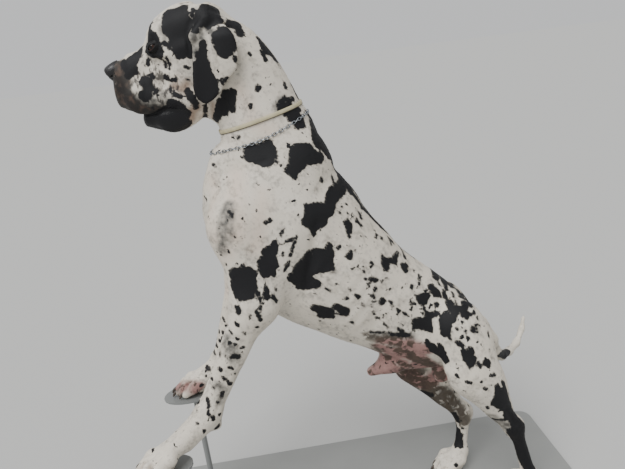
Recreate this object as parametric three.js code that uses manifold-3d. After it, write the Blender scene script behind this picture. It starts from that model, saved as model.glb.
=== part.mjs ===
// A great dane, life size, standing with its forefeet raised on a plain display stand.
// Millimetres, +Z up, nose towards -X, its left side towards -Y.
// The origin is the middle of the stand's underside.
import * as THREE from "three";
import { mergeVertices } from "three/addons/utils/BufferGeometryUtils.js";
import Module from "manifold-3d";

const wasm = await Module();
wasm.setup();

// ---- Driving sizes ----
const GAP = 0.3; // between touching pieces
const BASE = { length: 1320, width: 600, thick: 20, corner: 40, middleX: 75 };
const FORE_LEVEL = 418; // height of the forefeet above the hind feet
const ROD = { radius: 9, foot: 32, footThick: 6, plate: [186, 116], plateThick: 6 };
const STRAP = { wide: 11, thick: 3, off: 1.2 };
const CHAIN = { links: 36, fat: 3.4, thin: 1.7, off: 2.2 };
const EAR_THICK = 7;
const EYE_RADIUS = 13;
const CLAW = { length: 24, radius: 4.6 };

// Cell sizes of the nets that turn the smooth field into faces
const CELL = { torso: 38.5, neck: 32, head: 14.8, jaw: 18, nose: 10, leg: 24, foot: 15.2 };

// The dog's own frame has the hind feet at z = 0; this moves it onto the stand.
const LIFT = new THREE.Vector3(-BASE.middleX, 0, BASE.thick + GAP);

// Head frame: the origin is the stop between the eyes, "a" runs along the muzzle, "h" towards the brow.
const STOP = [-348, 1449];
const HEAD_PITCH = THREE.MathUtils.degToRad(20);
const FWD = [-Math.cos(HEAD_PITCH), -Math.sin(HEAD_PITCH)];
const UPW = [-Math.sin(HEAD_PITCH), Math.cos(HEAD_PITCH)];
const headPoint = (a, y, h) => [STOP[0] + a * FWD[0] + h * UPW[0], y, STOP[1] + a * FWD[1] + h * UPW[1]];

// Joints of the limbs, left (near) and right (far)
const LEGS = {
  left: {
    side: -1,
    blade: [-8, -62, 1120],
    shoulder: [-192, -104, 985],
    elbow: [-180, -126, 774],
    wrist: [-349, -148, 496],
    forePaw: { at: [-482, -242, FORE_LEVEL - 12], turn: 22 },
    hip: [366, -82, 596],
    knee: [388, -119, 458],
    hock: [519, -90, 240],
    ankle: [566, -92, 58],
    hindPaw: { at: [536, -92, 0], turn: 3 },
  },
  right: {
    side: 1,
    blade: [-8, 62, 1120],
    shoulder: [-192, 104, 985],
    elbow: [-200, 128, 782],
    wrist: [-320, 124, 498],
    forePaw: { at: [-414, 108, FORE_LEVEL], turn: 10 },
    hip: [366, 82, 596],
    knee: [280, 120, 378],
    hock: [424, 88, 190],
    ankle: [402, 66, 58],
    hindPaw: { at: [366, 60, 0], turn: 10 },
  },
};
const TAIL = [
  [462, 0, 552], [500, 14, 482], [526, 50, 420], [566, 98, 370],
  [614, 152, 346], [660, 196, 346], [694, 228, 378], [708, 244, 412],
];
const TAIL_RADIUS = [26, 10];

// ---- The smooth field: negative inside the flesh ----
function limb(a, b, ra, rb, flat = 1) {
  const axis = [b[0] - a[0], b[1] - a[1], b[2] - a[2]];
  const len = Math.hypot(...axis);
  const w = axis.map((c) => c / len);
  const side = new THREE.Vector3(0, 1, 0);
  side.addScaledVector(new THREE.Vector3(...w), -w[1]).normalize();
  const up = new THREE.Vector3(...w).cross(side);
  const slope = (ra - rb) / len;
  const lean = Math.sqrt(Math.max(1e-6, 1 - slope * slope));
  return (x, y, z) => {
    const px = x - a[0], py = y - a[1], pz = z - a[2];
    const t = px * w[0] + py * w[1] + pz * w[2];
    const s = (px * side.x + py * side.y + pz * side.z) / flat;
    const u = px * up.x + py * up.y + pz * up.z;
    const q = Math.hypot(s, u);
    const k = -q * slope + t * lean;
    let d;
    if (k < 0) d = Math.hypot(q, t) - ra;
    else if (k > len * lean) d = Math.hypot(q, t - len) - rb;
    else d = q * lean + t * slope - ra;
    return d * Math.min(1, flat);
  };
}

function ball(c, r, tilt = 0) {
  const co = Math.cos(tilt), si = Math.sin(tilt);
  return (x, y, z) => {
    const px = x - c[0], pz = z - c[2];
    const u = (px * co + pz * si) / r[0], v = (y - c[1]) / r[1], w = (-px * si + pz * co) / r[2];
    const k0 = Math.hypot(u, v, w);
    const k1 = Math.hypot(u / r[0], v / r[1], w / r[2]);
    return k1 < 1e-9 ? -Math.min(...r) : (k0 * (k0 - 1)) / k1;
  };
}

// A body swept along a bent line in the XZ plane. Each row is [x, z, half depth, half width].
function loft(rows, cap = 20, power = 2) {
  const curve = rows[0].map((_, c) => (t) => {
    const s = t * (rows.length - 1), i = Math.min(rows.length - 2, Math.floor(s)), f = s - i;
    const p = (j) => rows[Math.max(0, Math.min(rows.length - 1, j))][c];
    const [p0, p1, p2, p3] = [p(i - 1), p(i), p(i + 1), p(i + 2)];
    return 0.5 * (2 * p1 + (p2 - p0) * f + (2 * p0 - 5 * p1 + 4 * p2 - p3) * f * f + (3 * p1 - p0 - 3 * p2 + p3) * f * f * f);
  });
  const steps = (rows.length - 1) * 4;
  const pts = Array.from({ length: steps + 1 }, (_, i) => curve.map((f) => f(i / steps)));
  return (x, y, z) => {
    let best = Infinity, at = 0, off = 0, over = 0;
    for (let i = 0; i < steps; i++) {
      const a = pts[i], b = pts[i + 1];
      const dx = b[0] - a[0], dz = b[1] - a[1], l2 = dx * dx + dz * dz;
      const raw = ((x - a[0]) * dx + (z - a[1]) * dz) / l2;
      const t = Math.max(0, Math.min(1, raw));
      const qx = x - a[0] - t * dx, qz = z - a[1] - t * dz, d2 = qx * qx + qz * qz;
      if (d2 < best) {
        best = d2;
        at = i + t;
        const l = Math.sqrt(l2);
        off = (qx * dz - qz * dx) / l;
        over = ((i === 0 && raw < 0) || (i === steps - 1 && raw > 1)) ? (qx * dx + qz * dz) / l : 0;
      }
    }
    const i = Math.min(steps - 1, Math.floor(at)), f = at - i;
    const hd = pts[i][2] + (pts[i + 1][2] - pts[i][2]) * f, hw = pts[i][3] + (pts[i + 1][3] - pts[i][3]) * f;
    const k = Math.pow(Math.pow(Math.abs(off / hd), power) + Math.pow(Math.abs(y / hw), power) + Math.pow(Math.abs(over / cap), power), 1 / power);
    return (k - 1) * Math.min(hd, hw) * (0.55 + 0.45 * Math.min(1, Math.abs(y) / hw + 0.3));
  };
}

const blend = (k, ...parts) => (x, y, z) => {
  let d = parts[0](x, y, z);
  for (let i = 1; i < parts.length; i++) {
    const e = parts[i](x, y, z), h = Math.max(0, k - Math.abs(d - e)) / k;
    d = Math.min(d, e) - (h * h * k) / 4;
  }
  return d;
};
const inHead = (f) => (x, y, z) => {
  const dx = x - STOP[0], dz = z - STOP[1];
  return f(dx * FWD[0] + dz * FWD[1], y, dx * UPW[0] + dz * UPW[1]);
};

// Neck, chest, loin and rump in one, from the nape to the tail
const bodyLine = loft([
  [-202, 1442, 78, 66],
  [-152, 1394, 91, 71],
  [-121, 1341, 97, 74],
  [-102, 1290, 102, 76],
  [-93, 1236, 114, 80],
  [-86, 1184, 132, 88],
  [-91, 1122, 163, 98],
  [-93, 1052, 190, 108],
  [-82, 984, 204, 116],
  [-58, 922, 210, 123],
  [-24, 865, 208, 127],
  [22, 814, 196, 129],
  [71, 769, 182, 126],
  [114, 729, 169, 120],
  [157, 693, 158, 114],
  [210, 652, 151, 105],
  [262, 612, 146, 99],
  [320, 572, 132, 93],
  [378, 530, 104, 78],
], 46, 2.12);
const throat = limb([-272, 0, 1304], [-186, 0, 1276], 40, 33, 0.9);

const shoulders = Object.values(LEGS).map((l) => blend(50,
  limb(l.blade, l.shoulder, 62, 66, 0.62),
  limb(l.shoulder, l.elbow, 66, 50, 0.72),
  limb([-48, l.side * 92, 985], l.elbow, 74, 42, 0.62)));

const mid = (a, b, t, dx = 0, dz = 0) => [a[0] + (b[0] - a[0]) * t + dx, a[1] + (b[1] - a[1]) * t, a[2] + (b[2] - a[2]) * t + dz];

const foreLimb = (l) => {
  const paw = l.forePaw.at;
  const pastern = [(l.wrist[0] + paw[0]) / 2, (l.wrist[1] + paw[1]) / 2, paw[2] + 46];
  return blend(26,
    limb([l.elbow[0] - 12, l.elbow[1], l.elbow[2] - 4], l.wrist, 47, 33, 0.84),
    limb([l.elbow[0] + 22, l.elbow[1], l.elbow[2]], l.elbow, 25, 30, 0.9),
    limb(l.wrist, pastern, 34, 29, 0.95),
    ball([l.wrist[0] + 14, l.wrist[1], l.wrist[2] - 44], [15, 13, 13]));
};

const hindLimb = (l) => blend(34,
  limb(l.hip, l.knee, 79, 58, 0.72),
  limb([l.hip[0] + 36, l.hip[1], l.hip[2] - 62], mid(l.knee, l.hock, 0.28, 20, 16), 68, 42, 0.72),
  limb(l.knee, l.hock, 55, 28, 0.82),
  limb(mid(l.knee, l.hock, 0.2, 16, 12), mid(l.knee, l.hock, 0.6, 8, 4), 44, 27, 0.76),
  limb([l.hock[0] + 6, l.hock[1], l.hock[2] + 2], l.ankle, 21, 23, 0.85));

// A foot: four toes side by side on their pads, a little arched, with the outer two set back
const TOE_SPREAD = 21;
const toeSet = (fore) => [-1.5, -0.5, 0.5, 1.5].map((k) => ({
  across: k * TOE_SPREAD * (fore ? 1.12 : 1),
  ahead: (Math.abs(k) > 1 ? 22 : 40) + (fore ? 4 : 0),
}));
function pawFrame(paw) {
  const c = Math.cos(THREE.MathUtils.degToRad(paw.turn)), s = Math.sin(THREE.MathUtils.degToRad(paw.turn));
  return (f, across, up) => [paw.at[0] - f * c + across * s * -1, paw.at[1] - f * s + across * c, paw.at[2] + up];
}
function pawField(paw, heel, fore) {
  const at = pawFrame(paw);
  const arch = fore ? 29 : 36;
  const pieces = toeSet(fore).map((t) => blend(9,
    limb(at(-26, t.across * 0.7, 40), at(t.ahead - 16, t.across, arch), 21, 18, 0.95),
    limb(at(t.ahead - 16, t.across, arch), at(t.ahead + 8, t.across, 16), 17, 14.5, 0.95)));
  return blend(8, ...pieces, limb(heel, at(-18, 0, 40), fore ? 29 : 26, 29, 1.15), ball(at(-14, 0, 14), [30, 34, 17]));
}

const forePaws = Object.fromEntries(Object.entries(LEGS).map(([n, l]) => [n, pawField(l.forePaw, [l.wrist[0] - 20, l.wrist[1] + l.side * 6, l.wrist[2] - 22], true)]));
const hindPaws = Object.fromEntries(Object.entries(LEGS).map(([n, l]) => [n, pawField(l.hindPaw, l.ankle, false)]));

// Sheath below the belly
const sheath = blend(26, limb([300, 0, 482], [190, 0, 472], 44, 32, 0.8), limb([190, 0, 467], [124, 0, 449], 29, 17));
const scrotum = ball([338, 2, 410], [32, 29, 40]);

const skull = inHead(loft([
  [-186, -12, 36, 44],
  [-160, -22, 58, 62],
  [-118, -24, 74, 72],
  [-84, -28, 77, 73],
  [-64, -35, 76, 70],
  [-46, -54, 70, 63],
], 16));
const face = inHead(limb([-70, 0, -84], [34, 0, -84], 60, 57, 0.84));
const muzzle = inHead(loft([
  [8, -77, 75, 52],
  [38, -74, 76, 50],
  [72, -68, 76, 47],
  [100, -56, 63, 36],
], 20, 2.4));
const brows = [-1, 1].map((s) => inHead(ball([-50, s * 38, 5], [24, 17, 20])));
const cheeks = [-1, 1].map((s) => inHead(ball([-92, s * 50, -72], [46, 24, 42])));
const flews = [-1, 1].map((s) => inHead(ball([52, s * 34, -108], [56, 20, 44], -0.1)));
const masseters = [-1, 1].map((s) => inHead(ball([-70, s * 45, -104], [62, 23, 50])));
const lipCorners = [-1, 1].map((s) => inHead(limb([30, s * 37, -124], [-42, s * 38, -164], 26, 35, 0.85)));
const earRoots = [-1, 1].map((s) => ball([-196, s * 50, 1496], [36, 24, 27]));
const upperHead = blend(16, blend(12, blend(34, skull, face), muzzle), ...brows, ...cheeks, ...masseters, ...flews, ...lipCorners, ...earRoots);
const jaw = blend(20, inHead(loft([
  [86, -158, 24, 28],
  [52, -172, 36, 36],
  [14, -184, 42, 40],
  [-26, -176, 46, 42],
  [-80, -136, 52, 44],
], 14)), ...[-1, 1].map((s) => inHead(ball([20, s * 28, -188], [44, 16, 34]))));

const body = blend(40, bodyLine, ...shoulders);
const legFields = Object.values(LEGS).flatMap((l) => [foreLimb(l), hindLimb(l)]);
const flesh = blend(30, body, ...legFields, sheath, scrotum);
const fleshAndThroat = blend(30, flesh, throat);
const withHead = blend(24, fleshAndThroat, upperHead);
const headAndThroat = blend(24, blend(30, bodyLine, throat), upperHead);

// ---- From field to faces ----
const CORNERS = [[0, 0, 0], [1, 0, 0], [0, 1, 0], [1, 1, 0], [0, 0, 1], [1, 0, 1], [0, 1, 1], [1, 1, 1]];
const EDGES = [[0, 1], [2, 3], [4, 5], [6, 7], [0, 2], [1, 3], [4, 6], [5, 7], [0, 4], [1, 5], [2, 6], [3, 7]];
const SIDES = [[0, 1, 3, 2], [4, 5, 7, 6], [0, 1, 5, 4], [2, 3, 7, 6], [0, 2, 6, 4], [1, 3, 7, 5]];
const edgeOf = (a, b) => EDGES.findIndex(([p, q]) => (p === a && q === b) || (p === b && q === a));
const SIDE_EDGES = SIDES.map((s) => s.map((c, i) => edgeOf(c, s[(i + 1) % 4])));

// Groups a cell's crossed edges into the separate sheets that pass through it.
function sheets(inside) {
  const group = EDGES.map((_, i) => i);
  const find = (i) => (group[i] === i ? i : (group[i] = find(group[i])));
  SIDES.forEach((side, s) => {
    const crossed = SIDE_EDGES[s].filter((e) => inside[EDGES[e][0]] !== inside[EDGES[e][1]]);
    if (crossed.length === 2) group[find(crossed[0])] = find(crossed[1]);
    if (crossed.length === 4)
      side.forEach((c, i) => {
        if (inside[c]) group[find(SIDE_EDGES[s][i])] = find(SIDE_EDGES[s][(i + 3) % 4]);
      });
  });
  return EDGES.map((e, i) => (inside[e[0]] !== inside[e[1]] ? find(i) : -1));
}

// A net of quads on a grid of cells: one vertex for each sheet in each cell, moved onto the surface.
function net(field, min, max, cell) {
  const n = [0, 1, 2].map((i) => Math.ceil((max[i] - min[i]) / cell) + 2);
  const at = (i, j, k) => [min[0] + (i - 0.5) * cell, min[1] + (j - 0.5) * cell, min[2] + (k - 0.5) * cell];
  const id = (i, j, k) => (k * n[1] + j) * n[0] + i;
  const val = new Float64Array(n[0] * n[1] * n[2]);
  for (let k = 0; k < n[2]; k++)
    for (let j = 0; j < n[1]; j++)
      for (let i = 0; i < n[0]; i++) {
        const rim = i === 0 || j === 0 || k === 0 || i === n[0] - 1 || j === n[1] - 1 || k === n[2] - 1;
        const v = field(...at(i, j, k));
        val[id(i, j, k)] = rim ? Math.max(v, 0.5) : v;
      }
  const vertexOf = new Map(), points = [];
  for (let k = 0; k < n[2] - 1; k++)
    for (let j = 0; j < n[1] - 1; j++)
      for (let i = 0; i < n[0] - 1; i++) {
        const v = CORNERS.map(([a, b, c]) => val[id(i + a, j + b, k + c)]);
        const inside = v.map((d) => d < 0);
        if (inside.every((s) => s === inside[0])) continue;
        const sheet = sheets(inside), o = at(i, j, k), found = new Map();
        sheet.forEach((s, e) => {
          if (s < 0) return;
          if (!found.has(s)) found.set(s, { sum: [0, 0, 0], count: 0, edges: [] });
          const f = found.get(s), [p, q] = EDGES[e], t = v[p] / (v[p] - v[q]);
          for (let c = 0; c < 3; c++) f.sum[c] += CORNERS[p][c] + (CORNERS[q][c] - CORNERS[p][c]) * t;
          f.count++;
          f.edges.push(e);
        });
        for (const f of found.values()) {
          for (const e of f.edges) vertexOf.set(id(i, j, k) * 12 + e, points.length);
          points.push(settle(field, f.sum.map((s, c) => o[c] + (s / f.count) * cell), cell));
        }
      }
  const faces = [];
  const quad = (cells, edges, flip) => {
    const q = cells.map((c, i) => vertexOf.get(id(...c) * 12 + edges[i]));
    const [p0, p1, p2, p3] = q.map((v) => points[v]);
    const far = (u, v) => Math.hypot(u[0] - v[0], u[1] - v[1], u[2] - v[2]);
    const tris = far(p0, p2) <= far(p1, p3) ? [[q[0], q[1], q[2]], [q[0], q[2], q[3]]] : [[q[0], q[1], q[3]], [q[1], q[2], q[3]]];
    for (const t of tris) faces.push(...(flip ? [t[0], t[2], t[1]] : t));
  };
  for (let k = 0; k < n[2] - 1; k++)
    for (let j = 0; j < n[1] - 1; j++)
      for (let i = 0; i < n[0] - 1; i++) {
        const here = val[id(i, j, k)] < 0;
        if (j && k && here !== val[id(i + 1, j, k)] < 0) quad([[i, j - 1, k - 1], [i, j, k - 1], [i, j, k], [i, j - 1, k]], [3, 2, 0, 1], !here);
        if (i && k && here !== val[id(i, j + 1, k)] < 0) quad([[i - 1, j, k - 1], [i, j, k - 1], [i, j, k], [i - 1, j, k]], [7, 6, 4, 5], here);
        if (i && j && here !== val[id(i, j, k + 1)] < 0) quad([[i - 1, j - 1, k], [i, j - 1, k], [i, j, k], [i - 1, j, k]], [11, 10, 8, 9], !here);
      }
  const g = new THREE.BufferGeometry();
  g.setAttribute("position", new THREE.Float32BufferAttribute(points.flat(), 3));
  g.setIndex(faces);
  g.userData.indexed = true;
  return solid(g);
}
// Moves a point along the field's slope onto its zero, by no more than half a cell.
function settle(field, p, cell) {
  const q = [...p], e = 0.5;
  for (let i = 0; i < 3; i++) {
    const v = field(...q);
    const g = [0, 1, 2].map((c) => {
      const a = [...q], b = [...q];
      a[c] += e;
      b[c] -= e;
      return (field(...a) - field(...b)) / (2 * e);
    });
    const g2 = g[0] ** 2 + g[1] ** 2 + g[2] ** 2;
    if (g2 < 1e-4) return p;
    for (let c = 0; c < 3; c++) q[c] -= (v * g[c]) / g2;
  }
  return Math.hypot(q[0] - p[0], q[1] - p[1], q[2] - p[2]) < cell * 0.5 ? q : p;
}

// ---- Solids ----
function solid(geometry) {
  const g = geometry.clone();
  for (const name of Object.keys(g.attributes)) if (name !== "position") g.deleteAttribute(name);
  const m = g.index && geometry.userData.indexed ? g : mergeVertices(g, 1e-4);
  return new wasm.Manifold(new wasm.Mesh({
    numProp: 3,
    vertProperties: new Float32Array(m.attributes.position.array),
    triVerts: new Uint32Array(m.index.array),
  }));
}
// A closed shell of listed points and triangles, turned so that its faces point out.
function facingOut(pos, idx) {
  const g = new THREE.BufferGeometry();
  g.setAttribute("position", new THREE.Float32BufferAttribute(pos, 3));
  g.setIndex(idx);
  const s = solid(g);
  if (s.volume() > 0) return s;
  g.setIndex(idx.flatMap((_, i) => (i % 3 ? [] : [idx[i], idx[i + 2], idx[i + 1]])));
  return solid(g);
}
const largest = (s) => s.decompose().reduce((a, b) => (b.volume() > a.volume() ? b : a));
function geometryOf(s) {
  const m = s.getMesh(), g = new THREE.BufferGeometry();
  g.setAttribute("position", new THREE.BufferAttribute(Float32Array.from(m.vertProperties), 3));
  g.setIndex(new THREE.BufferAttribute(Uint32Array.from(m.triVerts), 1));
  return g;
}
// Keeps what lies on the side of a plane that its normal points to, half a gap clear of it.
function keep(s, point, normal) {
  const n = new THREE.Vector3(...normal).normalize();
  return s.trimByPlane([n.x, n.y, n.z], n.dot(new THREE.Vector3(...point)) + GAP / 2);
}
// A block whose top face lies through a point, square to a direction, from one side plane outwards
function legBlock(top, down, inner, side, back, front, grow = 0) {
  const g = new THREE.BoxGeometry(front + back + 2 * grow, 400 + grow, 1000 + grow);
  g.translate((back - front) / 2, side * (200 + inner) - (side * grow) / 2, -500 + grow / 2);
  const d = new THREE.Vector3(down[0], 0, down[1]).normalize();
  g.rotateY(Math.atan2(-d.x, -d.z));
  g.translate(top[0], 0, top[1]);
  return solid(g);
}

const DOG = new THREE.Group();
DOG.position.copy(LIFT);
const part = new THREE.Group();
part.add(DOG);

const finish = (hex, roughness, metalness = 0) => new THREE.MeshStandardMaterial({ color: hex, roughness, metalness });
const coat = finish("#d9d6cb", 0.85);
const blackCoat = finish("#1d1c20", 0.8);
function add(name, s, material, group = DOG) {
  const mesh = new THREE.Mesh(geometryOf(largest(s)), material);
  mesh.name = name;
  group.add(mesh);
}

// ---- Where the body is parted ----
const NECK_CUT = { point: [-190, 0, 1385], normal: [-0.961, 0, 0.275] };
const CHEST_CUT = { point: [-95, 0, 1158], normal: [-0.17, 0, 0.985] };
const LOIN_CUT = { point: [128, 0, 725], normal: [0.62, 0, -0.785] };
const opposite = (v) => v.map((c) => -c);
const foreBlock = (l, grow) => legBlock([l.elbow[0] - 6, l.elbow[2] - 34], [l.wrist[0] - l.elbow[0], l.wrist[2] - l.elbow[2]], 64, l.side, 150, 300, grow);
const hindBlock = (l, grow) => legBlock([l.hip[0], 512], [0.0, -1], 30, l.side, 300, l.side < 0 ? 128 : 196, grow);

// ---- Torso, in a chest and a loin ----
let torso = net(flesh, [-330, -240, 340], [560, 240, 1240], CELL.torso);
for (const l of Object.values(LEGS)) torso = torso.subtract(foreBlock(l, GAP)).subtract(hindBlock(l, GAP));
torso = largest(keep(torso, CHEST_CUT.point, opposite(CHEST_CUT.normal)));
add("chest", keep(torso, LOIN_CUT.point, opposite(LOIN_CUT.normal)), coat);
add("loin", keep(torso, LOIN_CUT.point, LOIN_CUT.normal), coat);

// ---- Neck ----
let neckSolid = net(withHead, [-320, -150, 1080], [80, 150, 1560], CELL.neck);
neckSolid = keep(keep(neckSolid, CHEST_CUT.point, CHEST_CUT.normal), NECK_CUT.point, opposite(NECK_CUT.normal));

// ---- Head, lower jaw, nose ----
let head = keep(net(headAndThroat, [-500, -130, 1230], [-120, 130, 1570], CELL.head), NECK_CUT.point, NECK_CUT.normal);
const headGrown = keep(net((x, y, z) => headAndThroat(x, y, z) - 1.2, [-500, -130, 1230], [-120, 130, 1570], CELL.head), [NECK_CUT.point[0] + 2, 0, NECK_CUT.point[2]], NECK_CUT.normal);
let lowerJaw = net(jaw, [-480, -110, 1190], [-180, 110, 1400], CELL.jaw).subtract(headGrown);
lowerJaw = keep(lowerJaw, NECK_CUT.point, NECK_CUT.normal);
neckSolid = neckSolid.subtract(net((x, y, z) => jaw(x, y, z) - 0.9, [-480, -110, 1190], [-180, 110, 1400], CELL.jaw));

const noseField = inHead(blend(8, ball([104, 0, -20], [19, 21, 21]), ball([108, 0, -36], [13, 14, 13]), ...[-1, 1].map((s) => ball([108, s * 13, -23], [14, 11, 14]))));
const noseBox = [[...headPoint(104, 0, -20)].map((c) => c - 42), [...headPoint(104, 0, -20)].map((c) => c + 42)];
let nose = net(noseField, ...noseBox, CELL.nose);
head = head.subtract(net((x, y, z) => noseField(x, y, z) - 1.2, ...noseBox, CELL.nose));
for (const s of [-1, 1]) {
  const hole = new THREE.SphereGeometry(5, 10, 6);
  hole.scale(1.6, 0.75, 1);
  hole.rotateY(-HEAD_PITCH);
  hole.translate(...headPoint(118, s * 10, -24));
  nose = nose.subtract(solid(hole));
}

// Nostril slits run back from the nose into the sides of the muzzle; eyes sit in sockets between two lids.
const EYE = headPoint(-20, 0, -18);
const EYE_ACROSS = 47;
for (const [name, s] of [["left", -1], ["right", 1]]) {
  const centre = [EYE[0], s * EYE_ACROSS, EYE[2]];
  const look = new THREE.Vector3(-0.34, s * 0.92, -0.06).normalize();
  const turn = new THREE.Quaternion().setFromUnitVectors(new THREE.Vector3(0, 0, 1), look);
  const place = (g, out) => g.applyQuaternion(turn).translate(centre[0] + look.x * out, centre[1] + look.y * out, centre[2] + look.z * out);
  const rim = new THREE.TorusGeometry(13.5, 4, 5, 12);
  rim.scale(1, 0.72, 1);
  rim.rotateZ(s * 0.25);
  const opening = new THREE.SphereGeometry(12, 12, 8);
  opening.scale(1, 0.66, 1.6);
  opening.rotateZ(s * 0.25);
  head = head.add(solid(place(rim, 8)));
  head = head.subtract(solid(place(opening, 17))).subtract(solid(place(new THREE.SphereGeometry(EYE_RADIUS + GAP, 12, 8), 0)));
  add("eye_" + name, solid(place(new THREE.SphereGeometry(EYE_RADIUS, 12, 8), 0)), finish("#2a1a10", 0.08));
}

// ---- Ears: thin flaps folded over at the root, hollow towards the head ----
const EAR_EDGE = [[-192, 1497], [-217, 1482], [-228, 1452], [-237, 1398], [-247, 1332], [-240, 1306], [-222, 1291], [-202, 1298], [-178, 1318], [-154, 1346], [-132, 1366], [-124, 1405], [-127, 1444], [-146, 1470], [-170, 1492]];
const EAR_MIDDLE = [-184, 1404];
const earOut = (x, z) => {
  const drop = THREE.MathUtils.smoothstep(1500 - z, 0, 62);
  const rear = THREE.MathUtils.smoothstep(x, -205, -165);
  const low = THREE.MathUtils.smoothstep(1400 - z, 0, 110);
  return 52 + 35 * drop + 7 * rear * (1 - low) - 5 * low + 5 * Math.sin(((x + 184) / 60) * Math.PI) * (1 - drop * 0.3);
};
function earSolid(side, grow) {
  const curve = new THREE.CatmullRomCurve3(EAR_EDGE.map(([x, z]) => new THREE.Vector3(x, 0, z)), true);
  const around = 22, rings = [0.35, 0.7, 0.94];
  const edge = curve.getPoints(around).slice(0, around);
  const pos = [], idx = [];
  const put = (x, z, t) => {
    const y = earOut(x, z) + t;
    pos.push(x, side * y, z);
    return pos.length / 3 - 1;
  };
  const half = EAR_THICK / 2 + grow;
  const face = (t) => {
    const mid = put(EAR_MIDDLE[0], EAR_MIDDLE[1], t);
    const loops = rings.map((r) => edge.map((e) => put(EAR_MIDDLE[0] + (e.x - EAR_MIDDLE[0]) * r, EAR_MIDDLE[1] + (e.z - EAR_MIDDLE[1]) * r, t * (r > 0.9 ? 0.85 : 1))));
    return { mid, loops };
  };
  const out = face(half), inn = face(-half);
  const lip = edge.map((e) => {
    const g = 1 + grow / 60;
    return put(EAR_MIDDLE[0] + (e.x - EAR_MIDDLE[0]) * g, EAR_MIDDLE[1] + (e.z - EAR_MIDDLE[1]) * g, 0);
  });
  const tri = (a, b, c, f) => idx.push(...(f ? [a, c, b] : [a, b, c]));
  const band = (A, B, f) => A.forEach((_, i) => {
    const j = (i + 1) % around;
    tri(A[i], B[i], B[j], f);
    tri(A[i], B[j], A[j], f);
  });
  for (const [s, f] of [[out, side > 0], [inn, side < 0]]) {
    s.loops[0].forEach((_, i) => tri(s.mid, s.loops[0][i], s.loops[0][(i + 1) % around], f));
    for (let r = 0; r + 1 < rings.length; r++) band(s.loops[r], s.loops[r + 1], f);
    band(s.loops[rings.length - 1], lip, f);
  }
  return facingOut(pos, idx);
}
for (const [name, s] of [["left", -1], ["right", 1]]) {
  const socket = earSolid(s, GAP + 0.2);
  head = head.subtract(socket);
  neckSolid = neckSolid.subtract(socket);
  add("ear_" + name, earSolid(s, 0), blackCoat);
}
add("head", head, coat);
add("lower_jaw", lowerJaw, finish("#2b2525", 0.7));
add("nose", nose, finish("#141416", 0.45));

// ---- Strap and chain round the neck ----
// A ring round the neck where a plane cuts it: distance out to the skin for each angle.
function reach(origin, along, angle, shift, normal) {
  const dir = [Math.cos(angle) * along[0], Math.sin(angle), Math.cos(angle) * along[1]];
  const base = [origin[0] + normal[0] * shift, 0, origin[1] + normal[1] * shift];
  let lo = 20, hi = 260;
  for (let i = 0; i < 26; i++) {
    const r = (lo + hi) / 2;
    if (fleshAndThroat(base[0] + dir[0] * r, dir[1] * r, base[2] + dir[2] * r) < 0) lo = r;
    else hi = r;
  }
  return { dir, base, r: lo };
}
function ring(origin, along, steps, section) {
  const normal = [-along[1], along[0]];
  const pos = [], idx = [];
  const size = section(0).length;
  for (let i = 0; i < steps; i++) {
    const angle = (i / steps) * 2 * Math.PI;
    section(i).forEach(([out, shift]) => {
      const { dir, base, r } = reach(origin, along, angle, shift, normal);
      pos.push(base[0] + dir[0] * (r + out), dir[1] * (r + out), base[2] + dir[2] * (r + out));
    });
  }
  for (let i = 0; i < steps; i++)
    for (let j = 0; j < size; j++) {
      const a = i * size + j, b = i * size + ((j + 1) % size), c = ((i + 1) % steps) * size + j, d = ((i + 1) % steps) * size + ((j + 1) % size);
      idx.push(a, c, b, b, c, d);
    }
  return facingOut(pos, idx);
}
const STRAP_LINE = { origin: [-100, 1237], along: [0.976, 0.218] };
const CHAIN_LINE = { origin: [-94, 1203], along: [0.963, 0.27] };
const strap = (grow) => {
  const low = STRAP.off - grow, high = STRAP.off + STRAP.thick + grow, half = STRAP.wide / 2 + grow;
  return ring(STRAP_LINE.origin, STRAP_LINE.along, 44, () => [[low, -half], [high, -half], [high, half], [low, half]]);
};
add("collar_strap", strap(0), finish("#d8d0aa", 0.6));
const chain = (grow) => ring(CHAIN_LINE.origin, CHAIN_LINE.along, CHAIN.links * 2, (i) => {
  const flat = Math.floor(i / 2) % 2 === 0, swell = i % 2 ? 1 : 0.62;
  const ro = (flat ? CHAIN.thin : CHAIN.fat) * swell + grow, rw = (flat ? CHAIN.fat : CHAIN.thin) * swell + grow;
  const mid = CHAIN.off + CHAIN.fat;
  return [0, 1, 2, 3].map((j) => [mid + ro * Math.cos((j * Math.PI) / 2), rw * Math.sin((j * Math.PI) / 2)]);
});
add("collar_chain", chain(0), finish("#b9bcc0", 0.25, 1));
neckSolid = neckSolid.subtract(strap(GAP * 1.5)).subtract(chain(GAP * 1.5));
add("neck", neckSolid, coat);

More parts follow.
